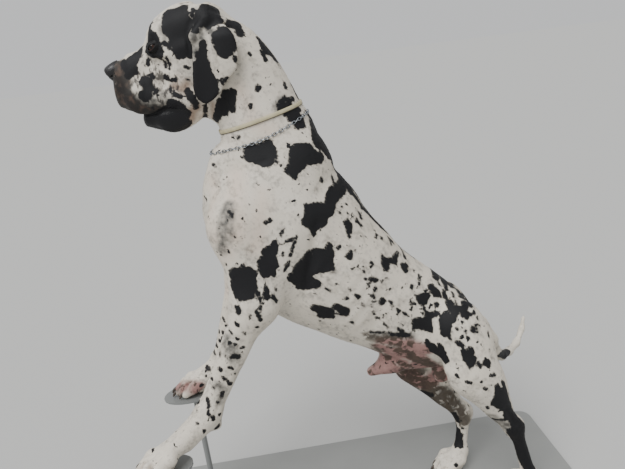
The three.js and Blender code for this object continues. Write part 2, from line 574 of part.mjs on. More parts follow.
// ---- Legs and feet ----
const CLAWS = [];
for (const [name, l] of Object.entries(LEGS)) {
  for (const fore of [true, false]) {
    const paw = fore ? l.forePaw : l.hindPaw, at = pawFrame(paw);
    const joint = fore ? l.wrist : l.hock;
    const before = fore ? l.elbow : l.hip;
    const after = fore ? at(-10, 0, 40) : l.ankle;
    const dir = fore ? [after[0] - before[0], 0, after[2] - before[2]] : [0.15, 0, -1];
    const shin = fore
      ? net(flesh, [l.wrist[0] - 120, Math.min(l.side * 60, l.side * 230), l.wrist[2] - 60], [l.elbow[0] + 110, Math.max(l.side * 60, l.side * 230), l.elbow[2] + 60], CELL.leg).intersect(foreBlock(l, 0))
      : net(flesh, [Math.min(l.knee[0], l.hock[0]) - 150, Math.min(l.side * 14, l.side * 230), l.hock[2] - 80], [l.hip[0] + 190, Math.max(l.side * 14, l.side * 230), 580], CELL.leg).intersect(hindBlock(l, 0));
    add((fore ? "foreleg_" : "hindleg_") + name, keep(shin, joint, opposite(dir)), coat);
    const field = blend(20, fore ? foreLimb(l) : hindLimb(l), (fore ? forePaws : hindPaws)[name]);
    const c = at(10, 0, 0);
    const low = [Math.min(c[0] - 110, joint[0] - 60), Math.min(c[1] - 110, joint[1] - 50), paw.at[2] - 30];
    const high = [Math.max(c[0] + 110, joint[0] + 70), Math.max(c[1] + 110, joint[1] + 50), joint[2] + 60];
    let foot = net(field, low, high, CELL.foot);
    foot = keep(foot, joint, dir);
    foot = foot.trimByPlane([0, 0, 1], paw.at[2] + (fore ? GAP : 0));
    toeSet(fore).forEach((t, i) => {
      const seat = (grow) => {
        const g = new THREE.ConeGeometry(CLAW.radius + grow, CLAW.length + grow * 3, 6);
        g.translate(0, CLAW.length / 2 - 9, 0);
        g.rotateZ(THREE.MathUtils.degToRad(108)); // points along -X, a little down
        g.rotateX(Math.PI / 2); // stands the drop on Z
        g.rotateZ(THREE.MathUtils.degToRad(paw.turn));
        const p = at(t.ahead + 17, t.across, 19);
        g.translate(...p);
        return solid(g);
      };
      foot = foot.subtract(seat(GAP));
      CLAWS.push([`claw_${fore ? "fore" : "hind"}_${name}_${i + 1}`, seat(0)]);
    });
    add((fore ? "forepaw_" : "hindpaw_") + name, foot, coat);
  }
}
for (const [name, s] of CLAWS) add(name, s, finish("#4a4038", 0.5));

// ---- Tail: a tapered tube along its bend, met by the rump face to face ----
const TAIL_STEPS = 16, TAIL_SIDES = 10;
function tailTube() {
  const path = new THREE.CatmullRomCurve3(TAIL.map((p) => new THREE.Vector3(...p)));
  const pos = [], idx = [];
  for (let i = 0; i <= TAIL_STEPS; i++) {
    const t = i / TAIL_STEPS, c = path.getPoint(t), w = path.getTangent(t);
    const side = new THREE.Vector3(0, 1, 0).addScaledVector(w, -w.y).normalize(), up = w.clone().cross(side);
    const tip = i === TAIL_STEPS ? 0.45 : 1;
    const r = (TAIL_RADIUS[0] + (TAIL_RADIUS[1] - TAIL_RADIUS[0]) * Math.pow(t, 0.8)) * tip;
    for (let j = 0; j < TAIL_SIDES; j++) {
      const p = c.clone().addScaledVector(side, r * Math.cos((j / TAIL_SIDES) * 2 * Math.PI)).addScaledVector(up, r * Math.sin((j / TAIL_SIDES) * 2 * Math.PI));
      pos.push(p.x, p.y, p.z);
    }
  }
  for (let i = 0; i < TAIL_STEPS; i++)
    for (let j = 0; j < TAIL_SIDES; j++) {
      const k = (j + 1) % TAIL_SIDES, p = i * TAIL_SIDES, q = p + TAIL_SIDES;
      idx.push(p + j, p + k, q + k, p + j, q + k, q + j);
    }
  const last = TAIL_STEPS * TAIL_SIDES;
  for (let j = 1; j + 1 < TAIL_SIDES; j++) idx.push(0, j + 1, j, last, last + j, last + j + 1);
  return facingOut(pos, idx);
}
const rumpGrown = net((x, y, z) => flesh(x, y, z) - 2.5, [380, -110, 440], [620, 110, 640], 16);
add("tail", tailTube().subtract(rumpGrown), coat);

// ---- Stand: a flat base, and a rod under each forefoot ----
const steel = finish("#7b7d7c", 0.45);
{
  const { length: L, width: W, corner: r, thick } = BASE;
  const s = new THREE.Shape();
  s.moveTo(-L / 2 + r, -W / 2);
  s.lineTo(L / 2 - r, -W / 2).absarc(L / 2 - r, -W / 2 + r, r, -Math.PI / 2, 0);
  s.lineTo(L / 2, W / 2 - r).absarc(L / 2 - r, W / 2 - r, r, 0, Math.PI / 2);
  s.lineTo(-L / 2 + r, W / 2).absarc(-L / 2 + r, W / 2 - r, r, Math.PI / 2, Math.PI);
  s.lineTo(-L / 2, -W / 2 + r).absarc(-L / 2 + r, -W / 2 + r, r, Math.PI, 1.5 * Math.PI);
  const g = new THREE.ExtrudeGeometry(s, { depth: thick - 4, bevelThickness: 2, bevelSize: 2, bevelOffset: -2, bevelSegments: 1, curveSegments: 4 });
  g.translate(0, 0, 2);
  add("stand_base", solid(g), finish("#8a8b89", 0.55), part);
}
for (const [name, l] of Object.entries(LEGS)) {
  const at = pawFrame(l.forePaw)(8, 0, 0);
  const top = l.forePaw.at[2] + GAP;
  const foot = BASE.thick + GAP - LIFT.z;
  const R = ROD;
  const profile = [[0, foot], [R.foot, foot], [R.foot, foot + R.footThick], [R.radius, foot + R.footThick + 4], [R.radius, top - R.plateThick - GAP], [0, top - R.plateThick - GAP]];
  const rod = new THREE.LatheGeometry(profile.map(([r, z]) => new THREE.Vector2(r, z)), 12);
  rod.rotateX(Math.PI / 2);
  rod.translate(at[0], at[1], 0);
  const plate = new THREE.Shape().absellipse(0, 0, R.plate[0] / 2, R.plate[1] / 2, 0, Math.PI * 2);
  const p = new THREE.ExtrudeGeometry(plate, { depth: R.plateThick, bevelEnabled: false, curveSegments: 12 });
  p.rotateZ(THREE.MathUtils.degToRad(l.forePaw.turn));
  p.translate(at[0], at[1], top - R.plateThick - GAP);
  add("stand_rod_" + name, solid(rod).add(solid(p)), steel);
}

export default part;
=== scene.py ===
# A great dane as a still, life-size museum model: white coat with torn black patches, hind feet on a
# plain base, forefeet raised on two rods, a thin strap and a chain round the neck.
# Nose towards -X, left side towards -Y. Shapes are written in millimetres in the dog's own frame, whose
# floor is the hind feet's soles; on_stand() moves them onto the stand and turns them to metres.
import math

import bmesh
import bpy
import numpy as np
from mathutils import Matrix, Vector
from mathutils.bvhtree import BVHTree


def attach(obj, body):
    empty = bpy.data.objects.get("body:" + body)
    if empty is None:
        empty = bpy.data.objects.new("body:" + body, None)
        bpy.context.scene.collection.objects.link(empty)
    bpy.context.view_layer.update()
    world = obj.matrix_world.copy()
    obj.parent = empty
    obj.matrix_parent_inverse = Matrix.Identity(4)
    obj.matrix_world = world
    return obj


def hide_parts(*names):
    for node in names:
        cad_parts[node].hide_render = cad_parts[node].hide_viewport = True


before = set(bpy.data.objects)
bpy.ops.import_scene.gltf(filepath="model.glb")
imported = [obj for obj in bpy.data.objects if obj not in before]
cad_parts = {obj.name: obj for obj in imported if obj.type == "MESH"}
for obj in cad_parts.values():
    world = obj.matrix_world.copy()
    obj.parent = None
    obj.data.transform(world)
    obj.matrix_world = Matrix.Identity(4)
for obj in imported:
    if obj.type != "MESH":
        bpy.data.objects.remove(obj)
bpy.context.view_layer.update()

# Camera
# It stands at the dog's left, at the height of its head, and looks a little down. The picture is
# 625 by 469, and the true upright leans to the picture's left.
PICTURE = (625, 469)
FOCAL_PIXELS = 600
CAMERA_AT = Vector((-0.185, -1.576, 1.4203))
LOOK_DOWN, LEAN, LOOK_RIGHT = (math.radians(a) for a in (17.5, 7.3, 4.0))


def camera_axes():
    ahead = Vector((math.sin(LOOK_RIGHT) * math.cos(LOOK_DOWN), math.cos(LOOK_RIGHT) * math.cos(LOOK_DOWN),
                    -math.sin(LOOK_DOWN)))
    right = Vector((math.cos(LOOK_RIGHT), -math.sin(LOOK_RIGHT), 0))
    up = right.cross(ahead)
    across = math.cos(LEAN) * right - math.sin(LEAN) * up
    return across, math.sin(LEAN) * right + math.cos(LEAN) * up, ahead


ACROSS, UPWARD, AHEAD = camera_axes()
camera = bpy.data.objects.new("camera", bpy.data.cameras.new("camera"))
bpy.context.scene.collection.objects.link(camera)
camera.data.sensor_width = 36
camera.data.lens = 36 * FOCAL_PIXELS / PICTURE[0]
camera.data.clip_start = 0.02
turned = Matrix((ACROSS, UPWARD, -AHEAD)).transposed().to_4x4()
camera.matrix_world = Matrix.Translation(CAMERA_AT) @ turned
bpy.context.scene.camera = camera

# The dog's body
# Bone, muscle and loose skin under a short coat, all one surface. It is one smooth field, negative
# inside, built from tapered limbs, balls and bent barrels that run into each other, as the solids are.
LIFT = np.array([-75.0, 0.0, 20.3])
COAT_DEPTH = 2.0
FORE_LEVEL = 418
REACH = 45


def on_stand(points):
    return (np.asarray(points, float) + LIFT) / 1000


class Form:
    """A field with the box outside which it is far away."""

    def __init__(self, field, low, high):
        self.field = field
        self.low = np.array(low, float)
        self.high = np.array(high, float)


def smooth_min(a, b, k):
    h = np.maximum(k - np.abs(a - b), 0) / k
    return np.minimum(a, b) - h * h * k / 4


def limb(a, b, ra, rb, flat=1.0):
    a, b = np.array(a, float), np.array(b, float)
    length = np.linalg.norm(b - a)
    w = (b - a) / length
    side = np.array([0.0, 1.0, 0.0])
    side = side - side.dot(w) * w
    side /= np.linalg.norm(side)
    up = np.cross(w, side)
    slope = (ra - rb) / length
    lean = math.sqrt(max(1e-6, 1 - slope * slope))

    def field(p):
        q = p - a
        t = q @ w
        r = np.hypot(q @ side / flat, q @ up)
        k = -r * slope + t * lean
        d = r * lean + t * slope - ra
        d = np.where(k < 0, np.hypot(r, t) - ra, d)
        d = np.where(k > length * lean, np.hypot(r, t - length) - rb, d)
        return d * min(1.0, flat)

    r = max(ra, rb)
    return Form(field, np.minimum(a, b) - r, np.maximum(a, b) + r)


def ball(c, r, tilt=0.0):
    c, r = np.array(c, float), np.array(r, float)
    co, si = math.cos(tilt), math.sin(tilt)

    def field(p):
        q = p - c
        n = np.stack([q[:, 0] * co + q[:, 2] * si, q[:, 1], -q[:, 0] * si + q[:, 2] * co], 1) / r
        k0 = np.linalg.norm(n, axis=1)
        k1 = np.maximum(np.linalg.norm(n / r, axis=1), 1e-9)
        return k0 * (k0 - 1) / k1

    return Form(field, c - max(r), c + max(r))


def barrel(rows, cap=20.0, power=2.0):
    """A body along a bent line in the XZ plane; each row is x, z, half depth, half width."""
    rows = np.array(rows, float)
    count = (len(rows) - 1) * 4
    t = np.linspace(0, len(rows) - 1, count + 1)
    i = np.minimum(t.astype(int), len(rows) - 2)
    f = (t - i)[:, None]
    p0, p1, p2, p3 = (rows[np.clip(i + k, 0, len(rows) - 1)] for k in (-1, 0, 1, 2))
    pts = 0.5 * (2 * p1 + (p2 - p0) * f + (2 * p0 - 5 * p1 + 4 * p2 - p3) * f ** 2
                 + (3 * p1 - p0 - 3 * p2 + p3) * f ** 3)

    def field(p):
        best = np.full(len(p), np.inf)
        at, off, over = np.zeros(len(p)), np.zeros(len(p)), np.zeros(len(p))
        for i in range(count):
            a, step = pts[i, :2], pts[i + 1, :2] - pts[i, :2]
            length = math.hypot(*step)
            qx, qz = p[:, 0] - a[0], p[:, 2] - a[1]
            raw = (qx * step[0] + qz * step[1]) / length ** 2
            s = np.clip(raw, 0, 1)
            qx, qz = qx - s * step[0], qz - s * step[1]
            d2 = qx * qx + qz * qz
            near = d2 < best
            best[near] = d2[near]
            at[near] = i + s[near]
            off[near] = ((qx * step[1] - qz * step[0]) / length)[near]
            beyond = (raw < 0) & (i == 0) | (raw > 1) & (i == count - 1)
            over[near] = np.where(beyond, (qx * step[0] + qz * step[1]) / length, 0)[near]
        i = np.minimum(at.astype(int), count - 1)
        half = pts[i, 2:] + (pts[i + 1, 2:] - pts[i, 2:]) * (at - i)[:, None]
        hd, hw = half[:, 0], half[:, 1]
        y = np.abs(p[:, 1])
        k = ((np.abs(off) / hd) ** power + (y / hw) ** power + (np.abs(over) / cap) ** power) ** (1 / power)
        return (k - 1) * np.minimum(hd, hw) * (0.55 + 0.45 * np.minimum(1, y / hw + 0.3))

    r = rows[:, 2:].max()
    low, high = pts[:, :2].min(0) - r, pts[:, :2].max(0) + r
    return Form(field, [low[0], -r, low[1]], [high[0], r, high[1]])


def joined(k, *forms):
    def field(p):
        d = forms[0].field(p)
        for f in forms[1:]:
            d = smooth_min(d, f.field(p), k)
        return d

    return Form(field, np.min([f.low for f in forms], 0) - k / 4, np.max([f.high for f in forms], 0) + k / 4)


def join_into(d, p, form, k):
    """Adds a form to the distances d, looking only at the points near it."""
    near = np.all((p > form.low - REACH) & (p < form.high + REACH), axis=1)
    if near.any():
        d[near] = smooth_min(d[near], form.field(p[near]), k)
    return d


# The joints of the limbs, left and right, and the line of the tail.
LEGS = {
    "left": dict(side=-1, blade=(-8, -62, 1120), shoulder=(-192, -104, 985), elbow=(-180, -126, 774),
                 wrist=(-349, -148, 496), fore=((-482, -242, FORE_LEVEL - 12), 22),
                 hip=(366, -82, 596), knee=(388, -119, 458), hock=(519, -90, 240), ankle=(566, -92, 58),
                 hind=((536, -92, 0), 3)),
    "right": dict(side=1, blade=(-8, 62, 1120), shoulder=(-192, 104, 985), elbow=(-200, 128, 782),
                  wrist=(-320, 124, 498), fore=((-414, 108, FORE_LEVEL), 10),
                  hip=(366, 82, 596), knee=(280, 120, 378), hock=(424, 88, 190), ankle=(402, 66, 58),
                  hind=((366, 60, 0), 10)),
}
TAIL = [(462, 0, 552), (500, 14, 482), (526, 50, 420), (566, 98, 370),
        (614, 152, 346), (660, 196, 346), (694, 228, 378), (708, 244, 412)]
TAIL_ROOT, TAIL_TIP = 26, 10
PAWS = (("fore", True), ("hind", False))

# The head's own frame: the origin is the stop between the eyes, a runs along the muzzle, h to the brow.
STOP = np.array([-348.0, 0.0, 1449.0])
HEAD_PITCH = math.radians(20)
MUZZLE_WAY = np.array([-math.cos(HEAD_PITCH), 0, -math.sin(HEAD_PITCH)])
BROW_WAY = np.array([-math.sin(HEAD_PITCH), 0, math.cos(HEAD_PITCH)])


def head_point(a, y, h):
    return STOP + a * MUZZLE_WAY + h * BROW_WAY + np.array([0, y, 0])


def in_head(form):
    corners = [head_point(a, y, h) for a in (form.low[0], form.high[0]) for y in (form.low[1], form.high[1])
               for h in (form.low[2], form.high[2])]

    def field(p):
        q = p - STOP
        return form.field(np.stack([q @ MUZZLE_WAY, p[:, 1], q @ BROW_WAY], 1))

    return Form(field, np.min(corners, 0), np.max(corners, 0))


body_line = barrel([(-202, 1442, 78, 66), (-152, 1394, 91, 71), (-121, 1341, 97, 74), (-102, 1290, 102, 76),
                    (-93, 1236, 114, 80), (-86, 1184, 132, 88), (-91, 1122, 163, 98), (-93, 1052, 190, 108),
                    (-82, 984, 204, 116), (-58, 922, 210, 123), (-24, 865, 208, 127), (22, 814, 196, 129),
                    (71, 769, 182, 126), (114, 729, 169, 120), (157, 693, 158, 114), (210, 652, 151, 105),
                    (262, 612, 146, 99), (320, 572, 132, 93), (378, 530, 104, 78)], 46, 2.12)
throat = limb((-272, 0, 1304), (-186, 0, 1276), 40, 33, 0.9)


def between(a, b, t, dx=0, dz=0):
    a, b = np.array(a, float), np.array(b, float)
    return a + (b - a) * t + np.array([dx, 0, dz])


def shoulder_form(leg):
    return joined(50, limb(leg["blade"], leg["shoulder"], 62, 66, 0.62),
                  limb(leg["shoulder"], leg["elbow"], 66, 50, 0.72),
                  limb((-48, leg["side"] * 92, 985), leg["elbow"], 74, 42, 0.62))


def foreleg_form(leg):
    elbow, wrist, paw = leg["elbow"], leg["wrist"], leg["fore"][0]
    pastern = ((wrist[0] + paw[0]) / 2, (wrist[1] + paw[1]) / 2, paw[2] + 46)
    return joined(26, limb((elbow[0] - 12, elbow[1], elbow[2] - 4), wrist, 47, 33, 0.84),
                  limb((elbow[0] + 22, elbow[1], elbow[2]), elbow, 25, 30, 0.9),
                  limb(wrist, pastern, 34, 29, 0.95),
                  ball((wrist[0] + 14, wrist[1], wrist[2] - 44), (15, 13, 13)))


def hindleg_form(leg):
    hip, knee, hock, ankle = leg["hip"], leg["knee"], leg["hock"], leg["ankle"]
    return joined(34, limb(hip, knee, 79, 58, 0.72),
                  limb((hip[0] + 36, hip[1], hip[2] - 62), between(knee, hock, 0.28, 20, 16), 68, 42, 0.72),
                  limb(knee, hock, 55, 28, 0.82),
                  limb(between(knee, hock, 0.2, 16, 12), between(knee, hock, 0.6, 8, 4), 44, 27, 0.76),
                  limb((hock[0] + 6, hock[1], hock[2] + 2), ankle, 21, 23, 0.85))


TOE_SPREAD = 21


def paw_at(paw):
    place, turn = paw
    c, s = math.cos(math.radians(turn)), math.sin(math.radians(turn))
    return lambda ahead, across, up: (place[0] - ahead * c - across * s, place[1] - ahead * s + across * c,
                                      place[2] + up)


def toes(fore):
    return [(k * TOE_SPREAD * (1.12 if fore else 1), (22 if abs(k) > 1 else 40) + (4 if fore else 0))
            for k in (-1.5, -0.5, 0.5, 1.5)]


def paw_form(paw, heel, fore):
    at = paw_at(paw)
    arch = 29 if fore else 36
    pieces = [joined(9, limb(at(-26, y * 0.7, 40), at(x - 16, y, arch), 21, 18, 0.95),
                     limb(at(x - 16, y, arch), at(x + 8, y, 16), 17, 14.5, 0.95)) for y, x in toes(fore)]
    return joined(8, *pieces, limb(heel, at(-18, 0, 40), 29 if fore else 26, 29, 1.15),
                  ball(at(-14, 0, 14), (30, 34, 17)))


skull = in_head(barrel([(-186, -12, 36, 44), (-160, -22, 58, 62), (-118, -24, 74, 72), (-84, -28, 77, 73),
                        (-64, -35, 76, 70), (-46, -54, 70, 63)], 16))
face = in_head(limb((-70, 0, -84), (34, 0, -84), 60, 57, 0.84))
muzzle = in_head(barrel([(8, -77, 75, 52), (38, -74, 76, 50), (72, -68, 76, 47), (100, -56, 63, 36)],
                        20, 2.4))
brows = [in_head(ball((-50, s * 38, 5), (24, 17, 20))) for s in (-1, 1)]
cheeks = [in_head(ball((-92, s * 50, -72), (46, 24, 42))) for s in (-1, 1)]
flews = [in_head(ball((52, s * 34, -108), (56, 20, 44), -0.1)) for s in (-1, 1)]
masseters = [in_head(ball((-70, s * 45, -104), (62, 23, 50))) for s in (-1, 1)]
lip_corners = [in_head(limb((30, s * 37, -124), (-42, s * 38, -164), 26, 35, 0.85)) for s in (-1, 1)]
ear_roots = [ball((-196, s * 50, 1496), (36, 24, 27)) for s in (-1, 1)]
jaw = joined(20, in_head(barrel([(86, -158, 24, 28), (52, -172, 36, 36), (14, -184, 42, 40),
                                 (-26, -176, 46, 42), (-80, -136, 52, 44)], 14)),
             *[in_head(ball((20, s * 28, -188), (44, 16, 34))) for s in (-1, 1)])
sheath = joined(26, limb((300, 0, 482), (190, 0, 472), 44, 32, 0.8),
                limb((190, 0, 467), (124, 0, 449), 29, 17))
scrotum = ball((338, 2, 410), (32, 29, 40))

EYE = (-20, 47, -18)
EYE_RADIUS = 13.0
sockets = [in_head(ball((EYE[0], s * EYE[1], EYE[2]), (EYE_RADIUS + 1,) * 3)) for s in (-1, 1)]

# Each ear is a thin flap, hung from a high root and folded forward over its opening.
EAR_THICK = 8
EAR_EDGE = [(-192, 1497), (-217, 1482), (-228, 1452), (-237, 1398), (-247, 1332), (-240, 1306), (-222, 1291),
            (-202, 1298), (-178, 1318), (-154, 1346), (-132, 1366), (-124, 1405), (-127, 1444), (-146, 1470),
            (-170, 1492)]


def ramp(v, low, high):
    t = np.clip((v - low) / (high - low), 0, 1)
    return t * t * (3 - 2 * t)


def ear_out(x, z):
    drop, rear, low = ramp(1500 - z, 0, 62), ramp(x, -205, -165), ramp(1400 - z, 0, 110)
    bow = 5 * np.sin((x + 184) / 60 * np.pi) * (1 - drop * 0.3)
    return 52 + 35 * drop + 7 * rear * (1 - low) - 5 * low + bow


def closed_curve(points, steps):
    p = np.array(points, float)
    t = np.arange(0, len(p), 1 / steps)
    i = t.astype(int)
    f = (t - i)[:, None]
    p0, p1, p2, p3 = (p[(i + k) % len(p)] for k in (-1, 0, 1, 2))
    return 0.5 * (2 * p1 + (p2 - p0) * f + (2 * p0 - 5 * p1 + 4 * p2 - p3) * f ** 2
                  + (3 * p1 - p0 - 3 * p2 + p3) * f ** 3)


def outline_distance(edge, x, z):
    """Signed distance in the plane to a closed outline, negative inside."""
    best, inside = np.full(len(x), np.inf), np.zeros(len(x), bool)
    for a, b in zip(edge, np.roll(edge, -1, 0)):
        e = b - a
        wx, wz = x - a[0], z - a[1]
        t = np.clip((wx * e[0] + wz * e[1]) / (e @ e), 0, 1)
        best = np.minimum(best, np.hypot(wx - e[0] * t, wz - e[1] * t))
        crosses = (a[1] > z) != (b[1] > z)
        with np.errstate(divide="ignore", invalid="ignore"):
            inside ^= crosses & (wx < e[0] * wz / e[1])
    return np.where(inside, -best, best)


EAR_OUTLINE = closed_curve(EAR_EDGE, 3)


def ear_form(side):
    def field(p):
        x, z = p[:, 0], p[:, 2]
        wall = (np.abs(side * p[:, 1] - ear_out(x, z)) - EAR_THICK / 2) * 0.8
        return -smooth_min(-outline_distance(EAR_OUTLINE, x, z) - 2, -wall, 5)

    y = sorted((side * 35, side * 105))
    return Form(field, (-250, y[0], 1285), (-120, y[1], 1500))


# The roll of skin where the ear folds down from its root.
EAR_ROLL = [((-150, 60, 1480), (-188, 68, 1486), 9, 12), ((-188, 68, 1486), (-226, 84, 1450), 12, 8)]


def ear_roll(side):
    return [limb((a[0], side * a[1], a[2]), (b[0], side * b[1], b[2]), ra, rb) for a, b, ra, rb in EAR_ROLL]


ears = [joined(14, ear_form(s), *ear_roll(s)) for s in (-1, 1)]


# What lies under the skin and shows through it: each mark raises the skin (or sinks it) by a few
# millimetres along a line, and fades out within its width. Both sides get the lines given here for one.
HEAD_RELIEF = [
    ((-20, 58, -45), (-120, 68, -55), 16, 4), ((-66, 62, -10), (-70, 62, -18), 22, -4),
    ((-110, 50, 8), (-140, 46, 10), 24, 3), ((-24, 0, 22), (-130, 0, 44), 9, -4),
    ((8, 42, -50), (44, 44, -62), 15, -4), ((74, 38, -96), (60, 44, -112), 24, 3),
    ((30, 50, -66), (62, 50, -120), 7, -2), ((0, 54, -92), (24, 52, -148), 8, -3),
    ((-20, 52, -100), (-4, 50, -160), 7, -2), ((-34, 56, 12), (-8, 46, 14), 8, 3),
    ((-14, 22, 10), (-2, 20, -4), 7, -3), ((104, 0, -50), (110, 0, -98), 4, -5),
    ((40, 0, 0), (90, 0, 2), 14, -2), ((104, 12, -40), (104, 26, -44), 5, -2),
    ((-38, 60, -40), (-10, 60, -34), 5, -3),
]
SIDE_RELIEF = [
    ((-205, 52, 1270), (-262, 30, 1065), 16, 5), ((-170, 74, 1262), (-232, 66, 1085), 15, -5),
    ((-150, 0, 1462), (60, 0, 1180), 16, 4), ((-6, 70, 1122), (-158, 122, 1006), 13, 4),
    ((44, 96, 1062), (-112, 126, 930), 20, -3), ((-60, 80, 1080), (-190, 108, 1020), 15, -3),
    ((66, 24, 1142), (70, 30, 1120), 30, 5), ((-216, 100, 990), (-214, 102, 980), 26, 6),
    ((-286, 0, 1010), (-284, 0, 990), 24, 5), ((-262, 46, 990), (-256, 48, 950), 20, -8),
    ((-288, 0, 965), (-252, 0, 850), 11, -5), ((-62, 120, 955), (-136, 136, 815), 32, 6),
    ((-118, 128, 990), (-182, 142, 850), 11, -4), ((4, 120, 965), (-50, 130, 765), 14, -8),
    ((-152, 146, 772), (-160, 146, 768), 18, 6), ((176, 104, 745), (120, 112, 640), 26, -6),
    ((208, 96, 566), (322, 118, 486), 13, 5), ((236, 100, 622), (260, 104, 596), 30, -6),
    ((168, 0, 862), (330, 0, 700), 11, 4), ((160, 30, 862), (330, 28, 692), 16, 3),
    ((150, 58, 850), (320, 56, 684), 13, -3), ((302, 60, 704), (306, 62, 700), 18, 7),
    ((430, 50, 612), (452, 46, 588), 20, 5), ((398, 118, 566), (424, 124, 486), 34, 4),
    ((440, 104, 566), (476, 108, 436), 11, -5), ((-70, 40, 700), (60, 44, 590), 26, 3),
    ((-208, 62, 1232), (-216, 40, 1196), 5, -3), ((-196, 66, 1216), (-210, 44, 1176), 4, -2),
    ((-100, 96, 1138), (-200, 76, 1116), 8, -2), ((230, 70, 540), (300, 90, 500), 5, -3),
]
RIB_PITCH, RIB_WIDTH, RIB_RISE, RIBS = 33, 8, 1.6, 8


def leg_relief(leg):
    side, elbow, wrist, paw = leg["side"], leg["elbow"], leg["wrist"], leg["fore"][0]
    knee, hock, ankle = leg["knee"], leg["hock"], leg["ankle"]

    def along(a, b, t, dx, dy, dz):
        p = between(a, b, t, dx, dz)
        p[1] += side * dy
        return p

    return [
        (along(elbow, wrist, 0.1, -26, 30, 0), along(elbow, wrist, 0.5, -20, 26, 0), 18, 4),
        (along(elbow, wrist, 0.12, 26, 10, -8), along(elbow, wrist, 0.5, 22, 8, -6), 16, 3),
        (along(elbow, wrist, 0.2, 4, 44, 0), along(elbow, wrist, 0.8, 2, 32, 0), 8, -3),
        (along(elbow, wrist, 0.6, 10, 34, 0), along(elbow, wrist, 0.94, 14, 28, -6), 6, -3),
        (along(elbow, wrist, 0.96, -26, 12, 6), along(elbow, wrist, 1.02, -26, 6, -8), 14, 4),
        (along(wrist, paw, 0.2, -20, 12, 26), along(wrist, paw, 0.6, -8, 14, 26), 6, -2),
        (along(knee, hock, -0.06, -48, 14, 8), along(knee, hock, 0.0, -50, 12, -4), 17, 5),
        (along(knee, hock, 0.06, -30, 22, -12), along(knee, hock, 0.4, -22, 18, -14), 10, 4),
        (along(knee, hock, 0.04, -14, 46, 0), along(knee, hock, 0.1, -8, 46, 0), 13, -4),
        (along(knee, hock, 0.2, 34, 22, 14), along(knee, hock, 0.52, 24, 16, 12), 20, 4),
        (along(knee, hock, 0.6, 10, 26, 8), along(knee, hock, 0.92, 12, 20, 4), 8, -6),
        (along(knee, hock, 0.62, 12, -22, 8), along(knee, hock, 0.92, 14, -18, 4), 8, -6),
        (along(knee, hock, 1.0, 22, 0, 2), along(knee, hock, 1.0, 24, 0, -8), 11, 5),
        (along(hock, ankle, 0.0, -20, 16, 0), along(hock, ankle, 0.05, -18, 16, 0), 12, 3),
        (along(hock, ankle, 0.2, 4, 20, 0), along(hock, ankle, 0.95, 6, 22, 0), 5, -2),
    ]


def toe_gaps(paw, fore):
    """The furrows between a paw's toes: a shallow stretch over the foot, then a deep one at the toes."""
    at = paw_at(paw)
    spots = toes(fore)
    furrows = []
    for (y0, x0), (y1, x1) in zip(spots[:-1], spots[1:]):
        across, ahead = (y0 + y1) / 2, (x0 + x1) / 2
        back = np.array(at(ahead - 44, across * 0.8, 58))
        knuckle = np.array(at(ahead - 14, across, 44))
        front = np.array(at(ahead + 8, across, 20))
        furrows += [(back, knuckle, 5, -4), (knuckle, front, 5.5, -8)]
    return furrows


def all_relief():
    marks = [(head_point(*a), head_point(*b), width, rise) for a, b, width, rise in HEAD_RELIEF]
    marks += [(np.array(a, float), np.array(b, float), width, rise) for a, b, width, rise in SIDE_RELIEF]
    down = np.array([-0.72, 0, -0.69])
    for i in range(RIBS):
        middle = np.array([-18 + i * RIB_PITCH * 0.72, 122, 838 - i * RIB_PITCH * 0.7])
        bow = np.array([0, -10, 0])
        marks += [(middle - down * 95 + bow, middle, RIB_WIDTH, RIB_RISE),
                  (middle, middle + down * 80 + bow * 2, RIB_WIDTH, RIB_RISE)]
    flip = np.array([1, -1, 1])
    marks += [(a * flip, b * flip, width, rise) for a, b, width, rise in marks if abs(a[1]) + abs(b[1]) > 0]
    for leg in LEGS.values():
        marks += leg_relief(leg)
        for pair, fore in PAWS:
            at = paw_at(leg[pair])
            marks += toe_gaps(leg[pair], fore)
            marks += [(np.array(at(x - 20, y, 46)), np.array(at(x - 14, y, 44)), 9, 3) for y, x in toes(fore)]
    return marks


RELIEF = all_relief()


def relief(p):
    rise = np.zeros(len(p))
    for a, b, width, height in RELIEF:
        reach = 2.4 * width
        near = np.flatnonzero(np.all((p > np.minimum(a, b) - reach) & (p < np.maximum(a, b) + reach), axis=1))
        if not len(near):
            continue
        q, line = p[near] - a, b - a
        t = np.clip(q @ line / max(line @ line, 1e-6), 0, 1)
        away = ((q - t[:, None] * line) ** 2).sum(1)
        rise[near] += height * np.exp(-away / width ** 2)
    return rise


def skin_field(p):
    d = body_line.field(p)
    for leg in LEGS.values():
        d = join_into(d, p, shoulder_form(leg), 40)
    for leg in LEGS.values():
        d = join_into(d, p, foreleg_form(leg), 30)
        d = join_into(d, p, hindleg_form(leg), 30)
    d = join_into(d, p, sheath, 30)
    d = join_into(d, p, scrotum, 14)
    for leg in LEGS.values():
        heel = (leg["wrist"][0] - 20, leg["wrist"][1] + leg["side"] * 6, leg["wrist"][2] - 22)
        d = join_into(d, p, paw_form(leg["fore"], heel, True), 18)
        d = join_into(d, p, paw_form(leg["hind"], leg["ankle"], False), 18)
    steps = len(TAIL) - 1
    radius = [TAIL_ROOT + (TAIL_TIP - TAIL_ROOT) * (i / steps) ** 0.8 for i in range(steps + 1)]
    for i in range(steps):
        d = join_into(d, p, limb(TAIL[i], TAIL[i + 1], radius[i], radius[i + 1]), 12)
    head = joined(16, joined(12, joined(34, skull, face), muzzle), *brows, *cheeks, *masseters, *flews,
                  *lip_corners, *ear_roots)
    d = join_into(d, p, throat, 30)
    d = join_into(d, p, head, 24)
    d = join_into(d, p, jaw, 5) + COAT_DEPTH
    for socket in sockets:
        d = np.maximum(d, -socket.field(p))
    for ear in ears:
        d = join_into(d, p, ear, 9)
    return np.maximum(d, -p[:, 2])


